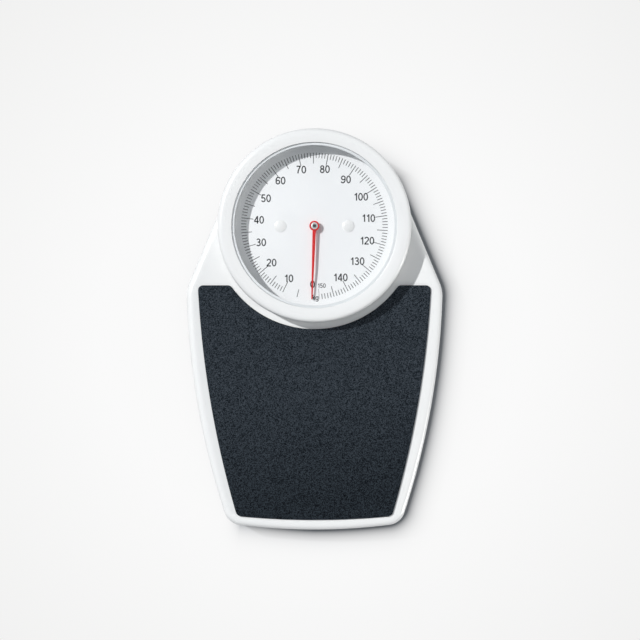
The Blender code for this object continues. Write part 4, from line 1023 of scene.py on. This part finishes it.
def oval(centre, wide, high, start=0.0, end=360.0, steps=OVAL_STEPS):
    """Points of an oval arc; the turns are in degrees."""
    turns = [math.radians(start + (end - start) * step / steps) for step in range(steps + 1)]
    return [(centre[0] + wide * math.cos(turn), centre[1] + high * math.sin(turn)) for turn in turns]


def figure_strokes():
    """The pen strokes of each figure: an open stroke is a list of points, a ring is a tuple."""
    hook = oval((0.36, 0.50), 0.295, 0.44, 180.0, 38.0, 12)
    return {
        "0": [((0.30, 0.50), 0.235, 0.44)],
        "1": [[(0.08, 0.74), (0.24, 0.79), (0.32, 0.94)], [(0.335, 1.0), (0.335, 0.0)]],
        "2": [oval((0.30, 0.70), 0.235, 0.24, 165.0, -38.0, 12) + [(0.055, 0.09)],
              [(0.0, 0.058), (0.56, 0.058)]],
        "3": [oval((0.28, 0.735), 0.20, 0.205, 155.0, -90.0, 12) + [(0.20, 0.53)],
              oval((0.285, 0.285), 0.235, 0.23, 90.0, -155.0, 12)],
        "4": [[(0.43, 0.98), (0.05, 0.31)], [(0.02, 0.275), (0.60, 0.275)], [(0.44, 1.0), (0.44, 0.0)]],
        "5": [[(0.10, 0.942), (0.53, 0.942)], [(0.16, 0.97), (0.10, 0.48)],
              oval((0.29, 0.315), 0.235, 0.26, 140.0, -155.0, 14)],
        "6": [((0.30, 0.30), 0.235, 0.24), hook],
        "7": [[(0.04, 0.942), (0.57, 0.942)], [(0.53, 0.93), (0.37, 0.62), (0.25, 0.31), (0.21, 0.0)]],
        "8": [((0.30, 0.745), 0.195, 0.20), ((0.30, 0.285), 0.235, 0.23)],
        "9": [((0.30, 0.70), 0.235, 0.24), [(0.60 - x, 1.0 - y) for x, y in hook]],
        "k": [[(0.08, 0.0), (0.08, 1.0)], [(0.10, 0.28), (0.44, 0.68)], [(0.20, 0.40), (0.48, 0.0)]],
        "g": [((0.28, 0.34), 0.215, 0.285), [(0.50, 0.68), (0.50, -0.12)],
              oval((0.275, -0.10), 0.225, 0.15, 0.0, -160.0, 10)]}


def pen_outline(points):
    """The closed outline of an open pen stroke, with square ends."""
    left = []
    right = []
    for number, point in enumerate(points):
        before = points[max(number - 1, 0)]
        after = points[min(number + 1, len(points) - 1)]
        across = bearing(before, after) + math.pi / 2
        left.append(polar(point, PEN / 2, across))
        right.append(polar(point, -PEN / 2, across))
    return left + right[::-1]


def draw_figure(strokes):
    """One figure, one unit high and as thick as the ink, at the origin."""
    made = []
    for stroke in strokes:
        if isinstance(stroke, tuple):
            centre, wide, high = stroke
            outer = oval(centre, wide + PEN / 2, high + PEN / 2)[:-1]
            inner = oval(centre, wide - PEN / 2, high - PEN / 2)[:-1]
            thick_band(outer, inner, 0.0, INK_HEIGHT)
        else:
            slab(pen_outline(stroke), 0.0, INK_HEIGHT)
        made.append(settle("stroke"))
    return join_all("figure", made)


def print_figures(figures, text, centre, height):
    """Copies of the figures side by side, centred on a place of the dial."""
    steps = [NARROW_STEPS.get(letter, FIGURE_STEP) for letter in text]
    width = sum(steps[:-1]) + FIGURE_WIDTH
    printed = []
    for number, letter in enumerate(text):
        let_go()
        figures[letter].select_set(True)
        bpy.context.view_layer.objects.active = figures[letter]
        bpy.ops.object.duplicate(linked=False)
        copy = bpy.context.object
        along = sum(steps[:number]) - width / 2
        copy.location = (centre[0] + along * height, centre[1] - height / 2, DIAL_TOP)
        copy.scale = (height, height, 1.0)
        bpy.ops.object.transform_apply()
        printed.append(copy)
    return printed


def make_print():
    """Ticks and figures, as a thin film of ink on the dial."""
    pieces = [make_ticks()]
    figures = {letter: draw_figure(strokes) for letter, strokes in figure_strokes().items()}
    for kilos in range(10, KILOS, 10):
        turn = kilo_turn(kilos)
        rise = NUMBER_RISE_ABOVE if math.sin(turn) > 0 else NUMBER_RISE_BELOW
        radius = NUMBER_RADIUS + rise * math.sin(turn) ** 4
        place = polar((HEAD_X - NUMBER_SHIFT, HEAD_Y), radius, turn)
        pieces += print_figures(figures, str(kilos), place, NUMBER_HEIGHT)
    for text, (across, up), height in LOOSE_FIGURES:
        pieces += print_figures(figures, text, (HEAD_X + across, HEAD_Y + up), height)
    for figure in figures.values():
        bpy.data.objects.remove(figure)
    printed = join_all("dial_print", pieces)
    hand_over(printed, "base", None, INK)


# Small turned pieces

def dome_section(radius, bottom, top):
    """Half a shallow dome, from its tip down to its rim."""
    height = top - bottom
    ball = (radius ** 2 + height ** 2) / (2 * height)
    half = math.asin(radius / ball)
    turns = [half * step / DOME_STEPS for step in range(DOME_STEPS + 1)]
    return [(ball * math.sin(turn), top - ball * (1 - math.cos(turn))) for turn in turns]


def make_rivets():
    """The two rivets that hold the dial to the gear plate: dome, shank and spread tail."""
    for side in ("left", "right"):
        node = "dial_rivet_" + side
        centre = middle(node)
        tail = bottom_of(node)
        under_plate = bottom_of("gear_plate") - RIVET_TAIL_GAP
        section = dome_section(half_width(node), RIVET_SEAT, top_of(node) - RIVET_DOME_DROP)
        section += [(RIVET_SHANK_RADIUS, RIVET_SEAT), (RIVET_SHANK_RADIUS, under_plate),
                    (RIVET_TAIL_RADIUS, under_plate), (RIVET_TAIL_RADIUS, tail), (0.0, tail)]
        rivet = turned_solid("domed_rivet_" + side, section, (centre.x, centre.y))
        hand_over(rivet, "base", "white_enamel", ENAMEL, node)


def make_pointer():
    """The red hand: a thin tapered arm that bends down to the dial, and a ring round the shaft."""
    bottom = bottom_of("pointer")
    top = top_of("pointer")
    length = HEAD_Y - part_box("pointer")[0].y
    turn = kilo_turn(0)
    open_half = math.asin(HAND_ROOT_HALF / HUB_RADIUS)
    outline = arc((0.0, 0.0), HUB_RADIUS, open_half, 2 * math.pi - open_half, HUB_STEPS)
    tip = length - HAND_TIP_HALF
    outline += [(tip, -HAND_TIP_HALF), (length, 0.0), (tip, HAND_TIP_HALF)]
    cosine = math.cos(turn)
    sine = math.sin(turn)
    laid = [(HEAD_X + x * cosine - y * sine, HEAD_Y + x * sine + y * cosine) for x, y in outline]
    slab(laid, bottom, top)
    choose_rim(top)
    bpy.ops.mesh.bevel(offset=HAND_EDGE_ROUND, segments=2)
    along = Vector((cosine, sine, 0.0))
    hub = Vector((*HEAD, 0.0))
    bend = hub + HAND_BEND_START * along
    choose_all()
    bpy.ops.mesh.bisect(plane_co=bend, plane_no=along)
    place = bpy.context.object.matrix_world
    choose("VERT", lambda vert: (place @ vert.co - hub).dot(along) > length - HAND_TIP_REACH)
    bpy.ops.transform.translate(value=(0.0, 0.0, -HAND_BEND_DROP))
    hand = settle("hand")
    ring_top = top + HUB_RING_HEIGHT
    ring_section = softened([
        (HUB_RING_INNER, top, 0.0), (HUB_RING_INNER, ring_top, HUB_RING_ROUND),
        (HUB_RING_OUTER, ring_top, HUB_RING_ROUND), (HUB_RING_OUTER, top, 0.0)])
    ring = turned("hub_ring", ring_section, steps=SMALL_STEPS)
    pointer = join_all("red_hand", [hand, ring])
    hand_over(pointer, "pointer", "pointer_paint", POINTER_PAINT, "pointer")


def make_pointer_cap():
    """The metal pin that holds the hand, with a screwdriver slot."""
    bottom = bottom_of("pointer_cap")
    top = top_of("pointer_cap")
    radius = half_width("pointer_cap")
    section = dome_section(radius, top - PIN_DOME, top) + [(radius, bottom), (0.0, bottom)]
    cap = turned_solid("hand_pin", section)
    cut_block(cap, (*HEAD, top), PIN_GROOVE_SIZE, PIN_GROOVE_TURN)
    hand_over(cap, "pointer", "zinc_steel", PIN_STEEL, "pointer_cap")


def make_feet():
    """Rubber feet: a flared pad with a grip ring and a recess underneath."""
    for node in ("foot_front_left", "foot_front_right", "foot_rear_left", "foot_rear_right"):
        low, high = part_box(node)
        centre = middle(node)
        radius = (high.x - low.x) / 2
        corners = [(radius - FOOT_FLARE, high.z, FOOT_TOP_ROUND),
                   (radius, low.z + FOOT_FLARE, FOOT_SIDE_ROUND),
                   (radius - FOOT_CHAMFER, low.z, FOOT_RIM_ROUND)]
        corners += [(radius * share, low.z + rise, FOOT_GRIP_ROUND) for share, rise in FOOT_UNDERSIDE]
        section = [(0.0, high.z)] + softened(corners + [(0.0, corners[-1][1], 0.0)])
        foot = turned_solid("rubber_" + node, section, (centre.x, centre.y))
        hand_over(foot, "base", "foot_rubber", FOOT_RUBBER, node)


def make_spring():
    """The main spring, wound from round wire, which the drawbar's cap presses down."""
    low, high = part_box("main_spring")
    centre = middle("main_spring")
    radius = half_width("main_spring") - SPRING_WIRE
    begin(bpy.ops.mesh.primitive_circle_add, vertices=SPRING_WIRE_SIDES, radius=SPRING_WIRE,
          fill_type="NGON", location=(centre.x + radius, centre.y, low.z + SPRING_WIRE),
          rotation=(math.pi / 2, 0.0, 0.0))
    rise = (high.z - low.z - 2 * SPRING_WIRE) / (SPRING_TURNS * SPRING_STEPS)
    for _ in range(SPRING_TURNS * SPRING_STEPS):
        extrude(rise)
        bpy.ops.transform.rotate(value=2 * math.pi / SPRING_STEPS, orient_axis="Z",
                                 center_override=(centre.x, centre.y, 0.0))
    spring = settle("wound_spring")
    hand_over(spring, "base", "spring_steel", SPRING_STEEL, "main_spring")
    travel = [joint["range_m"][1] for joint in frame["record"]["behaviour"]["joints"]
              if joint["name"] == "drawbar_slide"][0]
    1.0 - travel / (high.z - low.z)
    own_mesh(spring)


# Room, lights and camera

FLOOR_REACH = 6.0
FLOOR_UNDER = 0.006
FLOOR_DARK_REACH = 0.0052
FLOOR_SHADOW_REACH = 0.0080
FLOOR_LIT_REACH = 0.030
FLOOR_VIGNETTE_START = 0.25
FLOOR_VIGNETTE_END = 0.60
LIT_START = 0.5
LIT_SPAN = 0.9


def make_floor():
    """A floor that keeps the object's shadow close to it and is painted plain white by a glow further off.

    Each point carries its distance from the outline, more on the lit side, and the camera sees it
    the whiter for it, through a painted glow that hides the shadow sooner on the lit side.
    """
    floor_height = 0.0
    far = body_outline(-FLOOR_REACH)
    near = body_outline(0.0)
    band_between(far, near, floor_height)
    place = bpy.context.object.matrix_world.copy()
    choose("VERT", lambda vert: (place @ vert.co).length < FLOOR_REACH / 2)
    bpy.ops.mesh.edge_face_add()
    bpy.ops.mesh.inset(thickness=FLOOR_UNDER, use_even_offset=True)
    floor = settle("studio_floor")
    reach = floor.data.attributes.new("reach", "FLOAT", "POINT")
    for vert in floor.data.vertices:
        outside = vert.co.length > FLOOR_REACH / 2
        line = far if outside else near
        number = min(range(len(line)), key=lambda index: math.dist(line[index], vert.co.xy))
        turn = bearing(near[number], far[number])
        if math.dist(line[number], vert.co.xy) < FLOOR_UNDER / 2:
            reach.data[vert.index].value = FLOOR_REACH * outside + FLOOR_LIT_REACH * lit_side(turn)
    floor.data.materials.append(floor_finish())


def lit_side(turn):
    """One where the outline faces the key light, nought where its shadow falls."""
    facing = math.cos(turn - math.radians(KEY_TURN))
    return min(max((facing + LIT_START) / LIT_SPAN, 0.0), 1.0)


def floor_finish():
    """A floor with painted light: for what looks at it, a glow grows with the distance from the object,
    and a painted vignette greys it far from the middle.
    """
    made = Finish("studio_floor_painted_glow", roughness=0.9, specular_ior_level=0.0)
    away = made.node("ShaderNodeVectorMath", {"operation": "LENGTH"}, {0: made.place}, output="Value")
    # Painted vignette: far from the middle the floor's glow greys and its own colour loses some blue.
    painted_vignette = made.spread(away, FLOOR_VIGNETTE_START, FLOOR_VIGNETTE_END)
    made.set(base_color=made.blend(painted_vignette, (0.34, 0.355, 0.375), (0.34, 0.345, 0.355)))
    reach = made.node("ShaderNodeAttribute", {"attribute_name": "reach"}, output="Fac")
    past = reach.sum("MAXIMUM", reach - FLOOR_DARK_REACH, 0.0)
    # Painted glow, seen by the camera and by glossy and transmission rays, which hides the shadow away
    # from the object.
    painted_glow = 1.0 - math.exp(-1.0) ** (past / FLOOR_SHADOW_REACH)
    light = made.node("ShaderNodeEmission", None,
                      {"Color": made.blend(painted_vignette, (0.955, 0.955, 0.955), (0.865, 0.865, 0.860))})
    both = made.node("ShaderNodeMixShader", None,
                     {0: painted_glow * made.looked_at(), 1: Wire(made, made.shader.outputs[0]), 2: light})
    made.feed(made.tree.nodes["Material Output"].inputs["Surface"], both)
    return made.material


KEY_TURN = 150.0
KEY_RISE = 48.0
KEY_SHARE = 0.60
KEY_SPREAD = 2.0
BROAD_SHARE = 0.08
BROAD_SPREAD = 50.0
SIDE_TURN = -20.0
SIDE_RISE = 9.0
SIDE_SHARE = 0.09
SIDE_SPREAD = 10.0
SIDE_COLOUR = (1.0, 0.985, 0.955)
FILL_SHARE = 0.23
FILL_COLOUR = (0.92, 0.99, 1.07)
CAMERA_PLACE = (0.0064, 0.0116, 2.5)
CAMERA_LENS = 120.0
CAMERA_SENSOR = 36.0


def add_sun(name, share, turn, rise, spread, colour=(1.0, 1.0, 1.0)):
    """A lamp that gives a level surface this share of a full white; its angles are in degrees."""
    turn = math.radians(turn)
    rise = math.radians(rise)
    let_go()
    bpy.ops.object.light_add(type="SUN")
    lamp = bpy.context.object
    lamp.name = name
    lamp.data.energy = share * math.pi / math.sin(rise)
    lamp.data.angle = math.radians(spread)
    lamp.data.color = colour
    toward = Vector((math.cos(turn) * math.cos(rise), math.sin(turn) * math.cos(rise), math.sin(rise)))
    lamp.rotation_euler = toward.to_track_quat("Z", "Y").to_euler()


def make_world():
    """Even fill light, and a white backdrop for what looks straight at it."""
    world = bpy.data.worlds.new("studio")
    world.use_nodes = True
    made = NodeTree(world.node_tree)
    backdrop = world.node_tree.nodes["Background"]
    seen = made.looked_at()
    made.feed(backdrop.inputs["Strength"], FILL_SHARE + (1.0 - FILL_SHARE) * seen)
    made.feed(backdrop.inputs["Color"], made.blend(seen, FILL_COLOUR, (1.0, 1.0, 1.0)))
    bpy.context.scene.world = world


def make_camera():
    """Straight above the scale and far away, as the photograph was taken."""
    bpy.ops.object.camera_add(location=CAMERA_PLACE, rotation=(0.0, 0.0, 0.0))
    camera = bpy.context.object
    camera.data.lens = CAMERA_LENS
    camera.data.sensor_width = CAMERA_SENSOR
    bpy.context.scene.camera = camera
    bpy.context.scene.view_settings.view_transform = "Standard"


finish_kept_nodes()
make_pan()
make_cover()
make_mat()
make_bezel()
make_lens_ring()
make_print()
make_rivets()
make_pointer()
make_pointer_cap()
make_feet()
make_spring()
make_floor()
add_sun("key_light", KEY_SHARE, KEY_TURN, KEY_RISE, KEY_SPREAD)
add_sun("broad_light", BROAD_SHARE, KEY_TURN, KEY_RISE, BROAD_SPREAD)
add_sun("side_light", SIDE_SHARE, SIDE_TURN, SIDE_RISE, SIDE_SPREAD, SIDE_COLOUR)
make_world()
make_camera()
